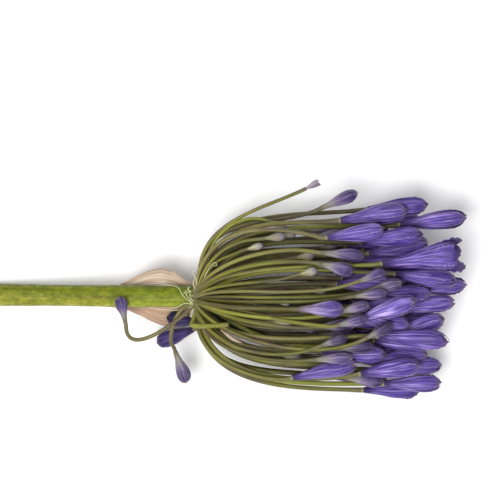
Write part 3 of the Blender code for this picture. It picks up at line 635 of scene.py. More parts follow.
# Threads beside the hub: the points that each runs through
THREADS = (
    (
        (-3.5, -3.2, 6.0), (-5.5, -1.8, 5.6), (-8.8, 1.2, 3.9),
        (-10.4, 4.2, 2.0), (-12.6, 5.5, 0.0), (-19.5, 6.0, -2.2),
    ),
    ((-3.6, -2.8, 6.2), (-6.0, 0.0, 5.0), (-7.4, 2.4, 4.6), (-8.2, 1.4, 5.4)),
    ((-3.4, -3.6, 6.0), (-7.0, -3.0, 4.4), (-10.0, -4.2, 2.2), (-12.4, -5.5, 0.0), (-15.2, -5.0, -0.4)),
    ((-3.6, -4.4, 5.2), (-7.0, -6.0, 2.0), (-12.0, -6.7, -1.6), (-19.0, -6.2, -3.6), (-26.0, -5.6, -4.4)),
    ((-2.0, 3.6, 6.0), (-3.4, 6.8, 4.6), (-2.4, 9.6, 4.2), (-3.6, 12.0, 4.8), (-2.2, 13.6, 5.4)),
    ((-1.0, 4.6, 5.6), (-1.8, 9.0, 6.2), (-0.4, 13.0, 6.8), (-1.6, 16.6, 7.0), (0.2, 18.0, 7.6)),
    (
        (0.5, 4.0, 6.4), (2.4, 10.0, 10.0), (5.2, 15.2, 13.6),
        (7.6, 17.4, 15.0), (8.6, 15.8, 15.8), (6.6, 15.6, 16.2),
    ),
    ((-2.6, -4.8, 4.6), (-4.4, -8.6, 3.4), (-3.4, -12.0, 3.6), (-5.6, -14.6, 3.0)),
    ((-3.0, -2.0, 6.2), (-4.6, -0.4, 6.8), (-5.0, 1.6, 7.2)),
)
THREAD_STEPS = 30
THREAD_SIDES = 6
THREAD_RADII = (0.2, 0.1)

# The short curly threads that are placed by rule round the knob
CURLY_THREADS = 7
CURLY_STEPS = 18
CURLY_RADII = (0.17, 0.09)
CURLY_TURNS = (-0.6, 5.4)
CURLY_BACK = (0.1, 0.9)
CURLY_START = (-5.0, -2.5)
CURLY_FROM_AXIS = 5.2
CURLY_LENGTHS = (2.5, 6.0)
CURLY_WIDTHS = (0.5, 1.4)
CURLY_LEVEL = (0.3, 0.2, 1.0)

# Colours of the petals: from foot to tip, of the ribs, streaks, rims and tip, and with the bud's tone. The
# streaks' light colour is partly pale veins and partly painted highlight.
MATURE_PETALS = {
    "stops": (
        (0.0, (0.055, 0.036, 0.1)), (0.12, (0.067, 0.042, 0.182)), (0.35, (0.119, 0.08, 0.335)),
        (0.65, (0.112, 0.072, 0.332)), (0.88, (0.106, 0.07, 0.275)), (1.0, (0.096, 0.07, 0.16)),
    ),
    "rib": (0.034, 0.019, 0.122),
    "light": (0.468, 0.392, 0.704),
    "rim": (0.216, 0.174, 0.29),
    "pale_rim": (0.387, 0.322, 0.528),
    "tip": (0.19, 0.15, 0.21),
}
MEDIUM_PETALS = {
    "stops": (
        (0.0, (0.15, 0.13, 0.06)), (0.12, (0.262, 0.262, 0.146)), (0.34, (0.318, 0.308, 0.252)),
        (0.47, (0.202, 0.184, 0.23)), (0.6, (0.07, 0.055, 0.15)), (0.88, (0.05, 0.039, 0.108)),
        (1.0, (0.082, 0.069, 0.084)),
    ),
    "rib": (0.06, 0.044, 0.125),
    "light": (0.44, 0.405, 0.43),
    "rim": (0.23, 0.2, 0.235),
    "pale_rim": (0.4, 0.365, 0.41),
    "tip": (0.27, 0.235, 0.255),
    "foot_tone": 0.3,
}
CREAMY_PETALS = {
    "stops": (
        (0.0, (0.16, 0.135, 0.11)), (0.12, (0.232, 0.208, 0.214)), (0.34, (0.326, 0.3, 0.35)),
        (0.47, (0.222, 0.19, 0.352)), (0.6, (0.092, 0.068, 0.262)), (0.88, (0.078, 0.055, 0.222)),
        (1.0, (0.09, 0.07, 0.15)),
    ),
    "rib": (0.046, 0.03, 0.124),
    "light": (0.47, 0.425, 0.6),
    "rim": (0.225, 0.19, 0.265),
    "pale_rim": (0.4, 0.35, 0.48),
    "tip": (0.22, 0.185, 0.225),
}
YOUNG_PETALS = {
    "stops": (
        (0.0, (0.18, 0.205, 0.05)), (0.25, (0.35, 0.385, 0.12)), (0.6, (0.4, 0.43, 0.225)),
        (0.88, (0.26, 0.25, 0.275)), (1.0, (0.18, 0.165, 0.2)),
    ),
    "rib": (0.175, 0.175, 0.11),
    "light": (0.6, 0.63, 0.41),
    "rim": (0.33, 0.32, 0.24),
    "pale_rim": (0.48, 0.49, 0.37),
    "tip": (0.22, 0.18, 0.23),
}
SPENT_PETALS = {
    "stops": (
        (0.0, (0.2, 0.19, 0.09)), (0.15, (0.4, 0.39, 0.3)), (0.5, (0.48, 0.475, 0.47)),
        (0.85, (0.44, 0.425, 0.41)), (1.0, (0.3, 0.265, 0.235)),
    ),
    "rib": (0.11, 0.085, 0.085),
    "light": (0.64, 0.625, 0.63),
    "rim": (0.21, 0.175, 0.175),
    "pale_rim": (0.5, 0.47, 0.47),
    "tip": (0.24, 0.195, 0.17),
}
PETAL_SHADE = (0.38, 0.33, 0.46)
# The bud's tone: the darkest tones paint shade, the brightest paint light and sheen, and those between give
# the bud's own hue.
TONE_SHADE_AND_LIGHT_STOPS = (
    (0.0, (0.22, 0.19, 0.27)), (0.12, (0.72, 0.58, 0.94)), (0.35, (1.03, 0.9, 1.08)),
    (0.7, (1.1, 0.95, 1.16)), (1.0, (1.28, 1.2, 1.34)),
)

# Colours of the stalks, by tone, and what lies over them
STALK_STOPS = (
    (0.0, (0.046, 0.04, 0.006)), (0.2, (0.085, 0.077, 0.01)), (0.4, (0.118, 0.108, 0.016)),
    (0.6, (0.195, 0.198, 0.024)), (0.8, (0.175, 0.142, 0.062)), (1.0, (0.258, 0.276, 0.03)),
)
STALK_BROWN = (0.096, 0.072, 0.042)
STALK_STREAK = (0.34, 0.335, 0.085)
STALK_SPECKLE = (0.052, 0.048, 0.012)
STALK_SHADE = (0.44, 0.42, 0.5)
STALK_ROOT = (0.258, 0.229, 0.126)
STALK_NECK = (0.15, 0.12, 0.085)
STALK_RING = (0.33, 0.32, 0.14)

# Colours of the stem: its skin, how light falls off round it near the cut and towards the knob (painted light
# and shade), the painted shade near the knob, its pith
STEM_STOPS = ((0.3, (0.175, 0.195, 0.014)), (0.5, (0.235, 0.25, 0.021)), (0.7, (0.33, 0.33, 0.036)))
STEM_DARK_MOTTLE = (0.115, 0.145, 0.012)
STEM_PALE_MOTTLE = (0.4, 0.4, 0.06)
STEM_FLECK = (0.105, 0.09, 0.012)
STEM_HUB_SHADE = (0.09, 0.12, 0.012)
STEM_LIGHT_ROUND_STOPS = ((0.0, (1.12, 1.08, 1.3)), (0.4, (0.92, 0.92, 0.9)), (1.0, (0.66, 0.7, 0.62)))
STEM_SHADE_STOPS = (
    (0.0, (1.12, 1.1, 1.25)), (0.22, (1.16, 1.15, 1.2)), (0.38, (0.84, 0.84, 0.66)),
    (0.6, (0.76, 0.76, 0.54)), (0.85, (1.0, 1.0, 0.8)), (1.0, (1.1, 1.1, 0.9)),
)
STEM_GREENER = (0.92, 1.03, 0.85)
PITH_STOPS = ((0.3, (0.3, 0.36, 0.12)), (0.6, (0.5, 0.52, 0.28)), (1.0, (0.56, 0.55, 0.34)))

# Colours of the bract
BRACT_PALE_STOPS = ((0.3, (0.56, 0.44, 0.32)), (0.5, (0.64, 0.56, 0.44)), (0.7, (0.68, 0.64, 0.55)))
BRACT_PINK_STOPS = ((0.3, (0.4, 0.235, 0.155)), (0.5, (0.46, 0.3, 0.205)), (0.7, (0.52, 0.385, 0.28)))
BRACT_LIGHT_EDGE = (1.16, 1.24, 1.26)
BRACT_SHADE_UNDER_STEM = (0.66, 0.66, 0.6)
BRACT_ORANGE = (0.62, 0.34, 0.19)
BRACT_DARK_VEIN = (0.27, 0.135, 0.085)
BRACT_FINE_VEIN = (0.33, 0.19, 0.125)
BRACT_WAVY_VEIN = (0.34, 0.18, 0.12)
BRACT_FIBRE = (0.56, 0.4, 0.29)
BRACT_RIM = (0.3, 0.165, 0.1)
BRACT_END = (0.15, 0.105, 0.06)

# Colours of the threads and of the stamens, from foot to end, and of their duller stretches
THREAD_STOPS = ((0.0, (0.56, 0.56, 0.24)), (0.5, (0.74, 0.72, 0.46)), (1.0, (0.62, 0.58, 0.34)))
THREAD_DULL = (0.45, 0.43, 0.26)
STAMEN_STOPS = (
    (0.0, (0.22, 0.16, 0.42)), (0.84, (0.48, 0.4, 0.66)), (0.87, (0.33, 0.25, 0.08)),
    (1.0, (0.3, 0.21, 0.06)),
)
STAMEN_DULL = (0.18, 0.13, 0.29)

# The floor, the camera and the lights, in metres but for the view. A light has a name, a place, sideways
# from the middle of the view and up from the floor, a size and a power.
FLOOR_HALF = 3.0
FLOOR_SUNK = 0.00005
FLOOR_COLOUR = (0.93, 0.93, 0.93, 1.0)
CAMERA_HEIGHT = 1.5
SENSOR_WIDTH = 36.0
FARTHEST_SEEN = 20.0
VIEW_WIDTH = 250.0
VIEW_MIDDLE = np.array((25.0, 23.5, 0.0))
AIM_HEIGHT = 0.02
LIGHTS = (("key", (-0.25, -0.38, 1.3), 0.8, 21.0), ("fill", (0.4, 0.6, 1.2), 1.2, 8.0))
SKY_STRENGTH = 0.2


def eased(at, xs, ys):
    """A smooth curve through the given values."""
    xs = np.asarray(xs, float)
    ys = np.asarray(ys, float)
    slopes = np.gradient(ys, xs)
    k = np.clip(np.searchsorted(xs, at, side="right") - 1, 0, len(xs) - 2)
    step = xs[k + 1] - xs[k]
    s = np.clip((at - xs[k]) / step, 0.0, 1.0)
    rise = ys[k] * (1 + 2 * s) * (1 - s) ** 2 + ys[k + 1] * s**2 * (3 - 2 * s)
    return rise + step * (slopes[k] * s * (1 - s) ** 2 + slopes[k + 1] * s**2 * (s - 1))


def ramped(values, low, high):
    """0 below low, 1 above high, and a smooth rise between."""
    share = np.clip((values - low) / (high - low), 0.0, 1.0)
    return share * share * (3.0 - 2.0 * share)


def smooth_path(corners, steps):
    """A smooth curve through a few given points."""
    corners = np.array(corners, float)
    at = np.arange(len(corners))
    fine = np.linspace(0.0, len(corners) - 1.0, steps)
    return np.column_stack([eased(fine, at, corners[:, k]) for k in range(3)])


def whole_turn(sides):
    """Angles spread evenly round one turn."""
    return 2 * math.pi * np.arange(sides) / sides


def beside(*parts):
    """Arrays and numbers beside each other, as the last axis of one array."""
    return np.stack(np.broadcast_arrays(*parts), axis=-1)


def two_sided(upper, lower=None, axis=-1):
    """The columns of a blade's upper side, then those of its lower side the other way round."""
    lower = upper if lower is None else lower
    return np.concatenate((upper, np.flip(lower, axis)), axis)


def blade(points, half_thickness):
    """The rings of a thin blade, from the grid of points on its middle."""
    away = half_thickness * unit(np.cross(np.gradient(points, axis=0), np.gradient(points, axis=1)))
    return two_sided(points + away, points - away, axis=1)


def upright(along, turn):
    """The turn that stands a shape built up +Z along a direction, spun by an angle round it."""
    return Quaternion(along, turn) @ Vector((0.0, 0.0, 1.0)).rotation_difference(along)


def add_object(name, data):
    made = bpy.data.objects.new(name, data)
    bpy.context.scene.collection.objects.link(made)
    return made


class Shape:
    """Closed shells that become one piece. Each point has a place, which the fine patterns follow, and a
    growth: how far across, how far along, and the tone of its floret."""

    def __init__(self):
        self.points = []
        self.places = []
        self.growths = []
        self.faces = []
        self.count = 0

    def shell(self, loops, places, growths, thin=False):
        """Adds a body of rings, closed at both ends: by one face, or on a thin blade by a strip of faces
        between its two sides."""
        rows, columns = loops.shape[:2]
        index = self.count + np.arange(rows * columns).reshape(rows, columns)
        after = np.roll(index, -1, axis=1)
        quads = np.stack((index[:-1], after[:-1], after[1:], index[1:]), axis=-1)
        self.faces += quads.reshape(-1, 4).tolist()
        for row, turned in ((index[0], True), (index[-1], False)):
            row = row.tolist()
            if thin:
                ends = [[row[j], row[j + 1], row[-2 - j], row[-1 - j]] for j in range(columns // 2 - 1)]
            else:
                ends = [row]
            self.faces += [end[::-1] for end in ends] if turned else ends
        self.points.append(loops.reshape(-1, 3))
        self.places.append(np.broadcast_to(places, loops.shape).reshape(-1, 3))
        self.growths.append(np.broadcast_to(growths, loops.shape).reshape(-1, 3))
        self.count += rows * columns
        return self

    def rod(self, points, radii, sides, number, tone, phase=0.0, flatness=0.05, ringed=0.0):
        """Adds a stalk, stub or thread: its places run round and along it, its growth from one end to the
        other. A ringed one has a pale rim under its bud."""
        loops, angles = swept(points, radii, sides, phase, flatness)
        steps = np.linalg.norm(np.diff(points, axis=0), axis=1)
        along = np.concatenate(((0.0,), np.cumsum(steps)))[:, None]
        places = beside(np.cos(angles) + FLORET_KINDS * number, along, np.sin(angles))
        return self.shell(loops, places, beside(ringed, along / along[-1], tone))

    def piece(self, name, nodes, slot, material):
        """Makes the mesh, no lower than the surface, hangs it on the root body and hides the imported parts
        that it replaces.
        """
        points = (np.concatenate(self.points) + HUB) * MM
        points[:, 2] = np.maximum(points[:, 2], 0.0)
        mesh = bpy.data.meshes.new(name)
        mesh.from_pydata(points.tolist(), [], self.faces)
        bm = bmesh.new()
        bm.from_mesh(mesh)
        bmesh.ops.recalc_face_normals(bm, faces=bm.faces)
        bm.to_mesh(mesh)
        bm.free()
        for label, values in (("place", self.places), ("growth", self.growths)):
            made = mesh.attributes.new(label, "FLOAT_VECTOR", "POINT")
            made.data.foreach_set("vector", np.concatenate(values).astype(np.float32).ravel())
        mesh.materials.append(material)
        mesh.shade_smooth()
        mesh.set_sharp_from_angle(angle=SHARP_ANGLE)
        obj = add_object(name, mesh)
        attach(obj, "root")
        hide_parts(*nodes)
        return obj


class Bud:
    """One bud: a tube, and the petals that rise out of it and have parted as far as its opening says."""

    def __init__(self, florets, i, resting, opening):
        self.number = i
        self.kind = florets.kind[i]
        self.radius = florets.radius[i]
        self.length = florets.length[i]
        self.foot = florets.foot[i]
        along = Vector(unit(florets.tip[i] - florets.foot[i]))
        self.turned = np.array(upright(along, 0.0 if resting else BUD_SPIN * i).to_matrix())
        self.draw = np.random.default_rng(BUD_SEED + i)
        # Painted shade: hidden buds keep to the darker tones.
        brightest = BRIGHTEST_BY_RULE if i < len(SEEN) else BRIGHTEST_HIDDEN
        tone_by_rule = self.draw.uniform(DARKEST_BY_RULE, brightest)
        self.tone = BUD_TONES_WITH_LIGHT_AND_SHADE.get(i, tone_by_rule)
        self.twist = self.draw.uniform(-MOST_TWIST, MOST_TWIST)
        self.opening = opening
        slim = self.kind != MATURE or i == CREAMY
        self.profile = self.opened((SMALL_PROFILE if slim else PROFILE) + BLUNTER_TIP, PARTED_PROFILE)

    def opened(self, closed, parted):
        return closed + (parted - closed) * self.opening

    def girth(self, at):
        pinch = 1.0 - self.opened(*TIP_PINCH) * ramped(at, *PINCH_SPAN)
        return self.radius * eased(at, PROFILE_AT, self.profile) * pinch

    def points(self, radii, angles, at):
        """Points round the bud's own axis, as points of the head."""
        upward = beside(radii * np.cos(angles), radii * np.sin(angles), at * self.length)
        return upward @ self.turned.T + self.foot

    def add(self, shape, radii, angles, at, across, thin=False):
        """Adds one shell of this bud, given round its own axis."""
        places = beside(across, at * self.length, FLORET_KINDS * self.number)
        side = (across + 1.0) % PETAL_KINDS - 1.0
        growths = beside(np.abs(side), at, self.tone)
        shape.shell(self.points(radii, angles, at), places, growths, thin)

    def add_tube(self, shape, end, rows, sides):
        """The tube and the hidden core, with a groove where two petals meet."""
        at = np.insert(np.linspace(0.0, end, rows), 1, FOOT_ROW)[:, None]
        angles = whole_turn(sides)
        sixth = angles / SIXTH + 0.5
        side = 2.0 * (sixth % 1.0) - 1.0
        level = 1.0 if self.kind == YOUNG else np.interp(at, CORE_AT, CORE_LEVEL)
        level = level * (1.0 - ROUNDED_FOOT * (1.0 - ramped(at, 0.0, FOOT_ROW)))
        groove = 1.0 - TUBE_GROOVE * np.abs(side) ** GROOVE_POWER
        across = side + PETAL_KINDS * np.floor(sixth)
        self.add(shape, self.girth(at) * level * groove, angles + self.twist * at, at, across)

    def add_petal(self, shape, k, across, rows):
        """One petal, a thin blade."""
        outer = k % 2 == 0
        middle = SIXTH * k
        shorter = self.draw.uniform(0.0, SHORTER_BY_CHANCE) + (0.0 if outer else INNER_SHORTER)
        upward = self.turned[2, 0] * math.cos(middle) + self.turned[2, 1] * math.sin(middle)
        shorter += UPPER_SHORTER * self.opening**2 * float(ramped(upward, *UPPER_SPAN))
        gap = self.draw.uniform(0.0, self.opened(*GAP))
        gap = gap + self.opened(*OUTER_GAP) if outer else gap * self.opened(*INNER_GAP)
        wave, phase = self.draw.uniform(*LONG_WAVES)
        crinkle, turn = self.draw.uniform(*FINE_WAVES)
        lean = self.draw.uniform(-END_LEAN, END_LEAN)

        # Outline
        torn = TORN * np.sin(TORN_PACES[0] * across + turn) * np.sin(TORN_PACES[1] * across + phase)
        end = 1.0 - ROUND_END * np.abs(across - lean) ** ROUND_POWER - torn
        share = np.interp(np.linspace(0.0, 1.0, rows), ROW_SHARES, ROW_AT)[:, None]
        at = PETAL_START + (end - PETAL_START) * share
        half = eased(at, HALF_AT, self.opened(OUTER_HALF if outer else INNER_HALF, PARTED_HALF))
        rim = ramped(np.abs(across), *RIM_SPAN)
        late_rim = rim * ramped(at, *LATE_SPAN)
        ripple = 1.0 + RIPPLE * rim * np.sin(wave * at + phase + RIPPLE_SLANT * across)
        fray = np.sin(crinkle * at + turn + FRAY_SLANT * across)
        fray = fray * np.sin(SLOWER_FRAY * crinkle * at + phase)
        ripple = ripple + self.opened(*FRAY) * late_rim * fray
        angles = middle + self.twist * at + half * across * ripple

        # Relief
        lengthwise = ramped(at, *RIB_RISE) * (1.0 - ramped(at, *RIB_FADE))
        rib = RIB_DEPTH * np.exp(-((across / RIB_WIDTH) ** 2))
        veins = VEIN_DEPTH * np.exp(-(((np.abs(across) - VEIN_PLACE) / VEIN_WIDTH) ** 2))
        uneven = LIFT_EVEN + LIFT_UNEVEN * np.sin(FASTER_LIFT * wave * at + phase)
        lift = RIM_LIFT * rim * ramped(at, *LIFT_SPAN) * uneven
        curling = np.sin(FASTER_CRINKLE * crinkle * at + 2.0 * turn + CRINKLE_SLANT * across)
        curling = curling + (self.opening if outer else 0.0)
        frill = self.opened(*CRINKLE) * late_rim * curling
        free = 1.0 if outer else self.opened(*INNER_FREE)
        level = np.interp(at, LEVEL_AT, OUTER_LEVEL if outer else INNER_LEVEL)
        level = level - (rib + veins) * lengthwise + free * (lift + frill)
        closing = 1.0 - self.opened(*CLOSED_TIP) * ramped(at, *CLOSED_SPAN)
        radii = self.girth(at) * level + self.radius * gap * ramped(at, *GAP_SPAN) * closing
        thickness = PETAL_THICKNESS * (self.radius / USUAL_RADIUS) * (1.0 - THINNER_RIM * across**2)
        inside = np.maximum(radii - thickness, LEAST_INSIDE * radii)
        at = at * (1.0 - shorter * share**2)
        both = two_sided(across) + PETAL_KINDS * k
        self.add(shape, two_sided(radii, inside), two_sided(angles), two_sided(at), both, thin=True)

    def build(self, shape):
        if self.kind == YOUNG:
            self.add_tube(shape, 1.0, YOUNG_ROWS, YOUNG_SIDES)
            return
        self.add_tube(shape, self.opened(*CORE_END), CORE_ROWS, CORE_SIDES)
        across, rows = PETAL_ACROSS, PETAL_ROWS
        if self.kind == MEDIUM:
            across, rows = PETAL_ACROSS[::2], SMALL_PETAL_ROWS
        for k in range(PETALS):
            self.add_petal(shape, k, across, rows)


def swept(points, radii, sides, phase, flatness):
    """Rings square to a path, carried along it without twist, as an array, with the angle of each point.
    They are a little flattened, so that light runs unevenly along them."""
    path = [Vector(point) for point in points]
    ahead = [(b - a).normalized() for a, b in zip(path, path[1:])]
    tangents = [ahead[0]]
    tangents += [(a + b).normalized() for a, b in zip(ahead, ahead[1:])]
    tangents.append(ahead[-1])
    across = tangents[0].orthogonal().normalized()
    axes = []
    for k, tangent in enumerate(tangents):
        if k:
            across = tangents[k - 1].rotation_difference(tangent) @ across
        axes.append((tuple(across), tuple(tangent.cross(across))))
    axes = np.array(axes)
    angles = whole_turn(sides)
    reach = np.asarray(radii)[:, None] * (1.0 + flatness * np.cos(2 * angles + phase))
    loops = np.asarray(points)[:, None]
    loops = loops + (reach * np.cos(angles))[..., None] * axes[:, 0][:, None]
    return loops + (reach * np.sin(angles))[..., None] * axes[:, 1][:, None], angles


def make_stalks(florets):
    """All the flower stalks, a cut stub among them."""
    draw = np.random.default_rng(STALK_SEED)
    curves = florets.stalk_points(cubic_basis(FINE_STEPS))
    shape = Shape()
    for i in range(florets.count):
        along = unit(florets.tip[i] - florets.foot[i])
        points = np.vstack((curves[i], florets.foot[i] + along * INTO_BUD))
        share = np.linspace(0.0, 1.0, len(points))
        window = (np.sin(math.pi * share) ** 2)[:, None]
        swing, start = draw.uniform(*SLOW_WAVES)
        sway = draw.uniform(-1.0, 1.0, 3)
        points = points + WOBBLE * window * sway * np.sin(swing * share + start)[:, None]
        slim = draw.uniform(*STALK_SLIMNESS)
        ringed = float(florets.kind[i] == MATURE and i != CREAMY)
        swell = STALK_SWELL * (1.0 if ringed else SMALL_SWELL) + (PARTED_SWELL if i == PARTED else 0.0)
        radii = STALK_RADII[florets.kind[i]] + swell * ramped(share, *SWELL_SPAN)
        radii = slim * radii * (1.0 + THICKER_FOOT * (1.0 - ramped(share, *FOOT_SPAN)))
        tone = draw.uniform()
        if i < len(SEEN):
            tone = DARKEST_SEEN_STALK + (1.0 - DARKEST_SEEN_STALK) * tone
        else:
            # Painted shade: the stalks within the head keep to the darkest tones.
            tone = BRIGHTEST_HIDDEN_STALK * tone
        tone = OWN_TONES.get(i, tone)
        phase = draw.uniform(0.0, 6.0)
        shape.rod(points, radii, FINE_SIDES, i, tone, phase, STALK_FLATNESS, ringed)
    path = smooth_path(STUB, STUB_STEPS)
    corners = np.arange(len(STUB))
    radii = np.interp(np.linspace(0.0, corners[-1], STUB_STEPS), corners, STUB_RADII)
    return shape.rod(path, radii, FINE_SIDES, florets.count, STUB_TONE)


def make_spent(florets, i):
    """The stub that a spent flower leaves: a pale ribbed cone with a torn rim."""
    bud = Bud(florets, i, False, 0.0)
    bud.tone = SPENT_TONE
    at = np.linspace(0.0, 1.0, SPENT_ROWS)[:, None]
    angles = whole_turn(CORE_SIDES)
    radii = bud.radius * (SPENT_FOOT + SPENT_FLARE * ramped(at, *SPENT_FLARE_SPAN))
    radii = radii * (1.0 + SPENT_RIBS * np.cos(PETALS * angles))
    few, many = SPENT_TEAR_PACES
    torn = SPENT_TEAR * np.sin(few * angles + 1.0) * np.cos(many * angles)
    torn = torn * ramped(at, *SPENT_TEAR_SPAN)
    side = (angles / SIXTH + 0.5) % 1.0 - 0.5
    shape = Shape()
    bud.add(shape, radii, angles, at * SPENT_END + torn, side)
    return shape


def make_stamens(florets):
    """Six stamens, each with its anther, round a pistil inside the parted flower."""
    draw = np.random.default_rng(STAMEN_SEED)
    bud = Bud(florets, PARTED, False, 1.0)
    shape = Shape()
    share = STAMEN_STEPS
    for k in range(PETALS + 1):
        turn = SIXTH * (k + 0.5) + draw.uniform(-STAMEN_SCATTER, STAMEN_SCATTER) + STAMEN_WIND * share
        reach = bud.radius * draw.uniform(*STAMEN_REACH) * (STAMEN_FOOT_REACH + STAMEN_LEAN * share)
        thick = FILAMENT + ANTHER * np.exp(-(((share - ANTHER_AT) / ANTHER_HALF) ** 4))
        if k == PETALS:
            reach = PISTIL_REACH * bud.radius * share
            thick = PISTIL - PISTIL_THINNER * share
        at = STAMENS_FROM + (draw.uniform(*STAMENS_TO) - STAMENS_FROM) * share
        shape.rod(bud.points(reach, turn, at), thick, STAMEN_SIDES, k, draw.uniform())
    return shape


def make_stem():
    """The stem with its knob, its cut end sunk a little inside a raised rind."""
    xs = np.concatenate([np.linspace(*run) for run in STEM_RUNS])
    angles = whole_turn(STEM_SIDES)
    ridges = sum(height * np.cos(count * angles + phase) for count, phase, height in STEM_RIDGES)
    swellings = sum(height * np.sin(pace * xs + phase) for pace, phase, height in STEM_SWELLINGS)
    reach = np.interp(xs, STEM_OUTLINE_AT, STEM_OUTLINE)[:, None] * (1.0 + ridges) + swellings[:, None]
    middle = stem_axis(xs)

    # The pith: rings that run inwards over the cut, a little hollow
    along = np.concatenate((PITH_SUNK - STEM_LENGTH, xs))[:, None]
    reach = np.concatenate((reach[0] * PITH_RINGS[:, None], reach))
    middle = np.concatenate((np.repeat(middle[:1], len(PITH_RINGS), axis=0), middle))
    cut = np.concatenate((1.0 - PITH_RINGS**3, np.zeros(len(xs))))[:, None]

    y = middle[:, 1:2] + reach * np.cos(angles)
    z = middle[:, 2:3] + reach * np.sin(angles)
    places = beside(STEM_PATTERN_RADIUS * np.cos(angles), along, STEM_PATTERN_RADIUS * np.sin(angles))
    return Shape().shell(beside(along, y, z), places, beside(cut, 1.0 + along / STEM_LENGTH, 0.0))


def make_bract():
    """A thin papery blade, rippled along its edges and raised a little along its veins."""
    xs = np.linspace(BRACT_AT[0] - BRACT_PAST[0], BRACT_AT[-1] + BRACT_PAST[1], BRACT_ROWS)[:, None]
    lower, upper, curl = (eased(xs, BRACT_AT, line) for line in (BRACT_LOWER, BRACT_UPPER, BRACT_CURL))
    across = np.linspace(0.0, 1.0, BRACT_COLUMNS)
    side = 2.0 * across - 1.0
    y = lower + (upper - lower) * across + BRACT_WEAVE * np.sin(BRACT_WEAVE_PACE * xs) * side**3
    rise = (curl - np.sqrt(np.maximum(curl**2 - y**2, 1.0))) * np.where(y > 0.0, 1.0, BRACT_DROOP)
    swing = np.sin(BRACT_RIPPLE_PACE * xs + BRACT_RIPPLE_PHASE + BRACT_RIPPLE_SLANT * across)
    flutter = np.sin(BRACT_EDGE_PACE * xs + BRACT_EDGE_SLANT * across)
    ripple = BRACT_RIPPLE * np.abs(side) * np.abs(swing) + BRACT_EDGE * side**4 * flutter
    veins = BRACT_VEIN * np.abs(np.sin(BRACT_VEINS * math.pi * across))
    middle = stem_axis(xs[:, 0])
    points = beside(xs, middle[:, 1:2] + y, middle[:, 2:3] - BRACT_DROP + rise - ripple + veins)
    loops = blade(points, (BRACT_HALF_THICKNESS - BRACT_THINNER_EDGE * side**2)[:, None])
    both = two_sided(across)
    share = np.linspace(0.0, 1.0, BRACT_ROWS)[:, None]
    places = beside(BRACT_PATTERN[0] * both, BRACT_PATTERN[1] * share, 0.0)
    growths = beside(np.abs(2.0 * both - 1.0), share, BRACT_TONE)
    return Shape().shell(loops, places, growths, thin=True)


def make_shred():
    """A narrow dry strip of the wrapping, grooved along and a little twisted."""
    path = smooth_path(SHRED, SHRED_ROWS)
    across = np.linspace(-1.0, 1.0, SHRED_COLUMNS)
    share = np.linspace(0.0, 1.0, SHRED_ROWS)[:, None]
    sideways = unit(np.cross(unit(np.gradient(path, axis=0)), (0.0, 0.0, 1.0)))
    half = np.interp(share, np.linspace(0.0, 1.0, len(SHRED_HALF)), SHRED_HALF)
    points = path[:, None] + sideways[:, None] * (half * across)[..., None]
    points[..., 2] += SHRED_GROOVE * np.cos(SHRED_GROOVE_PACE * across)
    points[..., 2] += SHRED_TURN * across * np.sin(SHRED_TURN_PACE * share)
    both = two_sided(across)
    places = beside(SHRED_PATTERN[0] * both, SHRED_PATTERN[1] * share, 0.0) + SHRED_PATTERN_AT
    growths = beside(np.abs(both), SHRED_GROWTH[0] + SHRED_GROWTH[1] * share, BRACT_TONE)
    return Shape().shell(blade(points, SHRED_HALF_THICKNESS), places, growths, thin=True)


def make_threads():
    """Thin threads round the hub: the ones that show along the stem, and short curly ones by rule."""
    draw = np.random.default_rng(THREAD_SEED)
    shape = Shape()
    for k, corners in enumerate(THREADS):
        radii = np.linspace(*THREAD_RADII, THREAD_STEPS)
        shape.rod(smooth_path(corners, THREAD_STEPS), radii, THREAD_SIDES, k, draw.uniform())
    share = np.linspace(0.0, 1.0, CURLY_STEPS)[:, None]
    for k in range(CURLY_THREADS):
        turn = draw.uniform(*CURLY_TURNS)
        outward = np.array((0.0, math.cos(turn), math.sin(turn)))
        heading = unit(outward - (draw.uniform(*CURLY_BACK), 0.0, 0.0))
        start = CURLY_FROM_AXIS * outward + stem_axis(draw.uniform(*CURLY_START))
        length = draw.uniform(*CURLY_LENGTHS)
        swirl, phase = draw.uniform(*SLOW_WAVES)
        curl = draw.uniform(*CURLY_WIDTHS) * share
        sideways = unit(np.cross(heading, CURLY_LEVEL))
        upward = np.cross(heading, sideways)
        path = start + heading * length * share + sideways * curl * np.sin(swirl * share + phase)
        path = path + upward * curl * (np.cos(swirl * share + phase) - math.cos(phase))
        radii = np.linspace(*CURLY_RADII, CURLY_STEPS)
        shape.rod(path, radii, THREAD_SIDES, len(THREADS) + k, draw.uniform())
    return shape


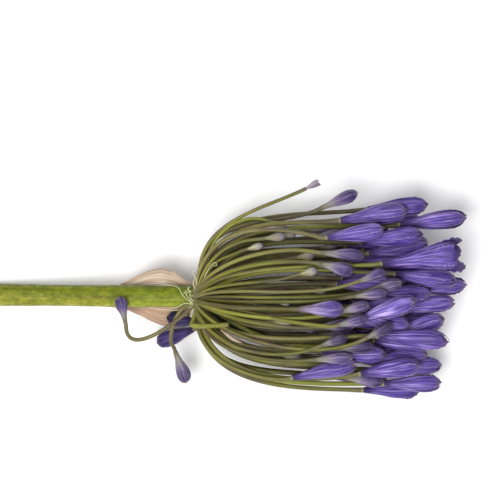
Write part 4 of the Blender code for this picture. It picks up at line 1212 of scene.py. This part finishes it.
class Pattern:
    """A material and short calls for the nodes that make its pattern."""

    def __init__(self, name, roughness):
        self.material = bpy.data.materials.new(name)
        self.material.use_nodes = True
        self.tree = self.material.node_tree
        self.shader = self.tree.nodes["Principled BSDF"]
        self.fill(self.shader, {"Roughness": roughness})
        self.place = self.read("place")
        self.across, self.along, self.tone = self.parts(self.read("growth"))
        self.colour = None

    def fill(self, node, inputs):
        """Links a node's inputs to other nodes, or gives them values."""
        for name, source in inputs.items():
            socket = node.inputs[name]
            if isinstance(source, bpy.types.NodeSocket):
                self.tree.links.new(source, socket)
            else:
                socket.default_value = (*source, 1.0) if socket.type == "RGBA" else source

    def node(self, kind, inputs=None, **settings):
        node = self.tree.nodes.new("ShaderNode" + kind)
        for name, value in settings.items():
            setattr(node, name, value)
        self.fill(node, inputs or {})
        return node

    def read(self, name):
        return self.node("Attribute", attribute_name=name).outputs["Vector"]

    def parts(self, vector):
        return self.node("SeparateXYZ", {0: vector}).outputs

    def noise(self, scale, detail=2.0, roughness=0.5):
        """Noise over the place, with its own scale round, along and between florets."""
        stretched = self.node("VectorMath", {0: self.place, 1: scale}, operation="MULTIPLY").outputs[0]
        inputs = {"Vector": stretched, "Scale": 1.0, "Detail": detail, "Roughness": roughness}
        return self.node("TexNoise", inputs).outputs["Fac"]

    def fit(self, value, low, high, to_low=0.0, to_high=1.0):
        """A value from low to high, eased to another range and held inside it."""
        inputs = {"Value": value, "From Min": low, "From Max": high, "To Min": to_low, "To Max": to_high}
        return self.node("MapRange", inputs, interpolation_type="SMOOTHSTEP").outputs["Result"]

    def math(self, operation, a, b=0.0):
        return self.node("Math", {0: a, 1: b}, operation=operation).outputs[0]

    def plus(self, a, b):
        return self.math("ADD", a, b)

    def times(self, *values):
        made = values[0]
        for value in values[1:]:
            made = self.math("MULTIPLY", made, value)
        return made

    def ramp(self, value, stops):
        node = self.node("ValToRGB", {0: value})
        elements = node.color_ramp.elements
        while len(elements) < len(stops):
            elements.new(0.5)
        for element, (at, colour) in zip(elements, stops):
            element.position = at
            element.color = (*colour, 1.0)
        return node.outputs["Color"]

    def mix(self, share, a, b, blend="MIX"):
        return self.node("Mix", {"Factor": share, 6: a, 7: b}, data_type="RGBA", blend_type=blend).outputs[2]

    def paint(self, share, colour):
        """Lays a colour over the pattern, as thick as the share says."""
        self.colour = self.mix(share, self.colour, colour)

    def tint(self, share, colour):
        """Multiplies the pattern by a colour, as far as the share says."""
        self.colour = self.mix(share, self.colour, colour, "MULTIPLY")

    def skin(self, gloss, depth, reach):
        """Sets a fixed gloss, and how much light goes in and how far, in metres of red, green and blue."""
        inputs = {"Subsurface Weight": depth, "Subsurface Radius": reach, "Subsurface Scale": 1.0}
        self.fill(self.shader, {"Specular IOR Level": gloss, **inputs})

    def finish(self, height, roughness=None, *, strength, distance):
        """Links the colour, a bump of a given depth in metres, and a roughness that varies."""
        bump = self.node("Bump", {"Strength": strength, "Distance": distance, "Height": height})
        self.fill(self.shader, {"Base Color": self.colour, "Normal": bump.outputs[0]})
        if roughness is not None:
            self.fill(self.shader, {"Roughness": roughness})
        return self.material


def petal_material(name, stops, rib, light, rim, pale_rim, tip, foot_tone=1.0):
    """Petals: colours from foot to tip, dark lengthwise lines, pale streaks where the petals fold, partly
    pale veins and partly painted highlight, a rim and a dull tip. The bud's tone goes over all of it, on the
    foot as far as foot_tone says; at its ends it paints shade or light and sheen."""
    p = Pattern(name, 0.5)
    fine = p.noise((7.5, 0.06, 1.0), 3.0)
    bold = p.noise((3.4, 0.05, 1.0), 2.0)
    broad = p.noise((1.3, 0.1, 1.0), 2.0)
    speckle = p.noise((5.0, 1.2, 1.0), 2.0)
    p.colour = p.ramp(p.along, stops)
    p.tint(p.fit(broad, 0.38, 0.66, 0.0, 0.75), PETAL_SHADE)
    p.paint(p.fit(fine, 0.48, 0.34, 0.0, 0.7), rib)
    centre = p.times(p.fit(p.across, 0.16, 0.03), p.fit(p.along, 0.15, 0.35), p.fit(p.along, 1.0, 0.8))
    vein = p.times(p.fit(p.across, 0.38, 0.48), p.fit(p.across, 0.6, 0.5), p.fit(p.along, 0.2, 0.4))
    lines = p.math("MAXIMUM", centre, p.times(vein, 0.6))
    p.paint(p.times(lines, p.fit(bold, 0.3, 0.5, 0.35, 0.95)), rib)
    # Pale streaks along the folds: partly pale veins, partly painted highlight.
    window = p.times(p.fit(p.along, 0.06, 0.2), p.fit(p.along, 0.95, 0.4))
    streaks = p.times(p.fit(bold, 0.5, 0.64), p.fit(fine, 0.35, 0.6, 0.3, 1.0))
    p.paint(p.times(streaks, window, 0.95), light)
    # Fine pale lines on the lower petal, partly painted highlight.
    p.paint(p.times(p.fit(fine, 0.56, 0.7), p.fit(p.along, 0.1, 0.4), 0.4), light)
    seam = p.times(p.fit(p.across, 0.84, 0.98), p.fit(p.along, 0.15, 0.45))
    p.paint(p.times(seam, p.fit(speckle, 0.3, 0.6, 0.4, 1.0)), p.mix(p.fit(broad, 0.42, 0.58), rim, pale_rim))
    edge = p.times(p.fit(p.across, 0.93, 1.0), p.fit(p.along, 0.5, 0.8))
    p.paint(p.times(edge, p.fit(broad, 0.6, 0.5, 0.15, 0.8)), tip)
    p.paint(p.times(p.fit(p.along, 0.84, 1.0), p.fit(speckle, 0.3, 0.6, 0.15, 0.8)), tip)
    # The bud's tone: painted shade at its darkest, painted light and sheen at its brightest.
    p.tint(p.fit(p.along, 0.25, 0.5, foot_tone, 1.0), p.ramp(p.tone, TONE_SHADE_AND_LIGHT_STOPS))
    p.skin(gloss=0.3, depth=0.05, reach=(0.0012, 0.0009, 0.0016))
    p.fill(p.shader, {"Sheen Weight": 0.05, "Sheen Roughness": 0.5})
    height = p.plus(fine, p.plus(p.times(bold, 0.8), p.times(speckle, 0.3)))
    roughness = p.fit(fine, 0.3, 0.7, 0.38, 0.6)
    return p.finish(height, roughness, strength=0.5, distance=0.0005)


def stalk_material():
    """Stalks: olive and yellow-green by floret, purplish brown here and there, in fine streaks."""
    p = Pattern("stalk_skin", 0.5)
    streak = p.noise((1.3, 0.05, 1.3), 3.0)
    patch = p.noise((0.35, 0.03, 0.35), 2.0)
    speckle = p.noise((2.5, 1.5, 2.5), 2.0)
    p.colour = p.ramp(p.tone, STALK_STOPS)
    p.paint(p.times(p.fit(patch, 0.46, 0.62, 0.0, 0.85), p.fit(p.tone, 0.95, 0.86)), STALK_BROWN)
    p.paint(p.fit(streak, 0.52, 0.7, 0.0, 0.5), STALK_STREAK)
    p.paint(p.fit(speckle, 0.5, 0.68, 0.0, 0.45), STALK_SPECKLE)
    p.tint(p.fit(p.along, 0.45, 0.8, 0.0, 0.42), STALK_SHADE)
    p.paint(p.fit(p.along, 0.14, 0.0, 0.0, 0.5), STALK_ROOT)
    p.paint(p.fit(p.along, 0.9, 0.98, 0.0, 0.45), STALK_NECK)
    p.paint(p.times(p.fit(p.along, 0.98, 0.988, 0.0, 0.5), p.across), STALK_RING)
    p.skin(gloss=0.3, depth=0.05, reach=(0.0008, 0.0012, 0.0004))
    height = p.plus(streak, speckle)
    return p.finish(height, p.fit(streak, 0.3, 0.7, 0.4, 0.62), strength=0.35, distance=0.0003)


def stem_material():
    """The stem: mid green with long paler streaks, fine dark flecks, painted light and shade round it,
    lighter on the side towards the key light, painted shade near the knob, and pale pith.
    """
    p = Pattern("stem_skin", 0.4)
    streak = p.noise((0.45, 0.012, 0.45), 3.0, 0.5)
    mottle = p.noise((0.42, 0.22, 0.42), 4.0, 0.65)
    fleck = p.noise((1.5, 0.9, 1.5), 3.0, 0.6)
    p.colour = p.ramp(streak, STEM_STOPS)
    p.paint(p.fit(mottle, 0.44, 0.62, 0.0, 0.6), STEM_DARK_MOTTLE)
    p.paint(p.fit(mottle, 0.46, 0.36, 0.0, 0.35), STEM_PALE_MOTTLE)
    p.paint(p.fit(fleck, 0.52, 0.66, 0.0, 0.6), STEM_FLECK)
    # Painted shade: darker near the knob, where the head shades the stem.
    p.paint(p.fit(p.along, 0.88, 0.97, 0.0, 0.65), STEM_HUB_SHADE)
    # Painted light and shade round the stem: lighter on the side towards the key light, darker on the far
    # side, with a shaded band further along.
    side = p.fit(p.parts(p.place)[0], -5.5, 3.5)
    p.tint(1.0, p.ramp(side, STEM_LIGHT_ROUND_STOPS))
    p.tint(p.fit(p.along, 0.1, 0.45), p.ramp(side, STEM_SHADE_STOPS))
    p.tint(p.fit(p.along, 0.45, 0.75), STEM_GREENER)
    p.paint(p.fit(p.across, 0.2, 0.35), p.ramp(p.across, PITH_STOPS))
    p.skin(gloss=0.2, depth=0.08, reach=(0.001, 0.002, 0.0005))
    height = p.plus(streak, p.times(fleck, 0.5))
    return p.finish(height, p.fit(mottle, 0.3, 0.7, 0.46, 0.62), strength=0.3, distance=0.0003)


def bract_material():
    """Dry paper: pinkish beige with brown parallel veins and darker edges."""
    p = Pattern("bract_paper", 0.7)
    vein = p.noise((0.62, 0.015, 1.0), 3.0, 0.6)
    line = p.noise((2.5, 0.02, 1.0), 2.0)
    cloud = p.noise((0.12, 0.09, 1.0), 3.0)
    fibre = p.noise((6.0, 0.08, 1.0), 3.0)
    sideways = p.parts(p.place)[0]
    p.colour = p.mix(
        p.fit(sideways, 9.0, 16.0), p.ramp(cloud, BRACT_PINK_STOPS), p.ramp(cloud, BRACT_PALE_STOPS)
    )
    p.tint(p.fit(sideways, 19.0, 16.5), BRACT_LIGHT_EDGE)
    # Painted shade on the bract near and under the stem, strongest towards its foot.
    shade_near_stem = p.times(p.fit(sideways, -1.0, 2.5), p.fit(sideways, 14.0, 10.0))
    p.tint(p.times(shade_near_stem, p.fit(p.along, 0.54, 0.42, 0.35, 1.0)), BRACT_SHADE_UNDER_STEM)
    p.paint(p.fit(p.along, 0.42, 0.15, 0.0, 0.55), BRACT_ORANGE)
    p.paint(p.fit(vein, 0.51, 0.6, 0.0, 0.5), BRACT_DARK_VEIN)
    p.paint(p.fit(line, 0.5, 0.58, 0.0, 0.6), BRACT_FINE_VEIN)
    wave = p.math("SINE", p.plus(p.times(sideways, 5.0), p.times(vein, 9.0)))
    p.paint(p.times(p.fit(wave, 0.35, 0.95), p.fit(cloud, 0.3, 0.6, 0.3, 0.6)), BRACT_WAVY_VEIN)
    p.paint(p.fit(fibre, 0.5, 0.7, 0.0, 0.35), BRACT_FIBRE)
    p.paint(p.fit(p.across, 0.93, 1.0, 0.0, 0.65), BRACT_RIM)
    p.paint(p.fit(p.along, 0.14, 0.02, 0.0, 0.8), BRACT_END)
    height = p.plus(vein, p.times(fibre, 0.5))
    return p.finish(height, p.fit(cloud, 0.3, 0.7, 0.6, 0.8), strength=0.5, distance=0.0003)


def thread_material(name, stops, dull):
    """Threads and stamens: one colour runs into another from foot to end, with duller stretches."""
    p = Pattern(name, 0.6)
    change = p.noise((0.8, 0.3, 0.8), 2.0)
    p.colour = p.ramp(p.along, stops)
    p.paint(p.fit(change, 0.45, 0.65, 0.0, 0.4), dull)
    return p.finish(change, strength=0.2, distance=0.0002)


def floor_material():
    """Smooth matt paper, nearly white."""
    made = bpy.data.materials.new("floor_paper")
    made.use_nodes = True
    inputs = made.node_tree.nodes["Principled BSDF"].inputs
    for name, value in (("Base Color", FLOOR_COLOUR), ("Roughness", 0.9), ("Specular IOR Level", 0.1)):
        inputs[name].default_value = value
    return made


def make_floor():
    bm = bmesh.new()
    bmesh.ops.create_grid(bm, x_segments=1, y_segments=1, size=FLOOR_HALF)
    mesh = bpy.data.meshes.new("floor")
    bm.to_mesh(mesh)
    bm.free()
    mesh.materials.append(floor_material())
    floor = add_object("floor", mesh)
    floor.location = (0.0, 0.0, -FLOOR_SUNK)


def add_light(name, place, size, power, aim):
    data = bpy.data.lights.new(name, "AREA")
    data.shape = "DISK"
    data.size = size
    data.energy = power
    light = add_object(name, data)
    light.location = place
    light.rotation_mode = "QUATERNION"
    light.rotation_quaternion = (Vector(aim) - Vector(place)).to_track_quat("-Z", "Y")


def set_stage():
    """Floor, soft lights and the camera, which looks straight down on the photograph's frame."""
    make_floor()
    x, y, _ = (HUB + VIEW_MIDDLE) * MM
    for name, (right, up, height), size, power in LIGHTS:
        add_light(name, (x + right, y + up, height), size, power, (x, y, AIM_HEIGHT))
    world = bpy.data.worlds.new("studio")
    bpy.context.scene.world = world
    world.use_nodes = True
    background = world.node_tree.nodes["Background"]
    background.inputs["Color"].default_value = (1.0, 1.0, 1.0, 1.0)
    background.inputs["Strength"].default_value = SKY_STRENGTH
    bpy.context.scene.view_settings.view_transform = "Standard"
    data = bpy.data.cameras.new("camera")
    data.sensor_width = SENSOR_WIDTH
    data.lens = SENSOR_WIDTH * CAMERA_HEIGHT / (VIEW_WIDTH * MM)
    data.clip_end = FARTHEST_SEEN
    camera = add_object("camera", data)
    camera.location = (x, y, CAMERA_HEIGHT + HUB[2] * MM)
    bpy.context.scene.camera = camera


def main():
    florets, resting = lay_out()
    base = ("stem_and_stalks",)
    make_stem().piece("stem", base, "stem", stem_material())
    make_stalks(florets).piece("flower_stalks", base, "stem", stalk_material())
    paper = bract_material()
    make_bract().piece("bract", ("spathe_bract",), "bract", paper)
    make_shred().piece("dry_shred", base, "bract", paper)
    straw = thread_material("thread_skin", THREAD_STOPS, THREAD_DULL)
    make_threads().piece("hub_threads", base, "bract", straw)
    violet = thread_material("stamen_skin", STAMEN_STOPS, STAMEN_DULL)
    make_stamens(florets).piece("bud_02_stamens", ("bud_02",), "petals", violet)
    mature_skin = petal_material("mature_petals", **MATURE_PETALS)
    creamy_skin = petal_material("creamy_petals", **CREAMY_PETALS)
    fused = {MEDIUM: Shape(), YOUNG: Shape()}
    number = 0
    for i in range(florets.count):
        kind = florets.kind[i]
        if kind == MATURE:
            number += 1
            opening = 1.0
            if i != PARTED:
                opening = MOST_OPENING * np.random.default_rng(OPENING_SEED + i).uniform() ** OPENING_POWER
            shape = Shape()
            Bud(florets, i, i in resting, opening).build(shape)
            skin = creamy_skin if i == CREAMY else mature_skin
            shape.piece(f"bud_{number:02d}_petals", (f"bud_{number:02d}",), "petals", skin)
        elif kind == SPENT:
            skin = petal_material("spent_petals", **SPENT_PETALS)
            make_spent(florets, i).piece("spent_stub", base, "bract", skin)
        else:
            Bud(florets, i, False, 0.0).build(fused[kind])
    medium_skin = petal_material("half_grown_petals", **MEDIUM_PETALS)
    fused[MEDIUM].piece("half_grown_buds", base, "petals", medium_skin)
    young_skin = petal_material("young_petals", **YOUNG_PETALS)
    fused[YOUNG].piece("young_buds", base, "petals", young_skin)
    set_stage()


main()
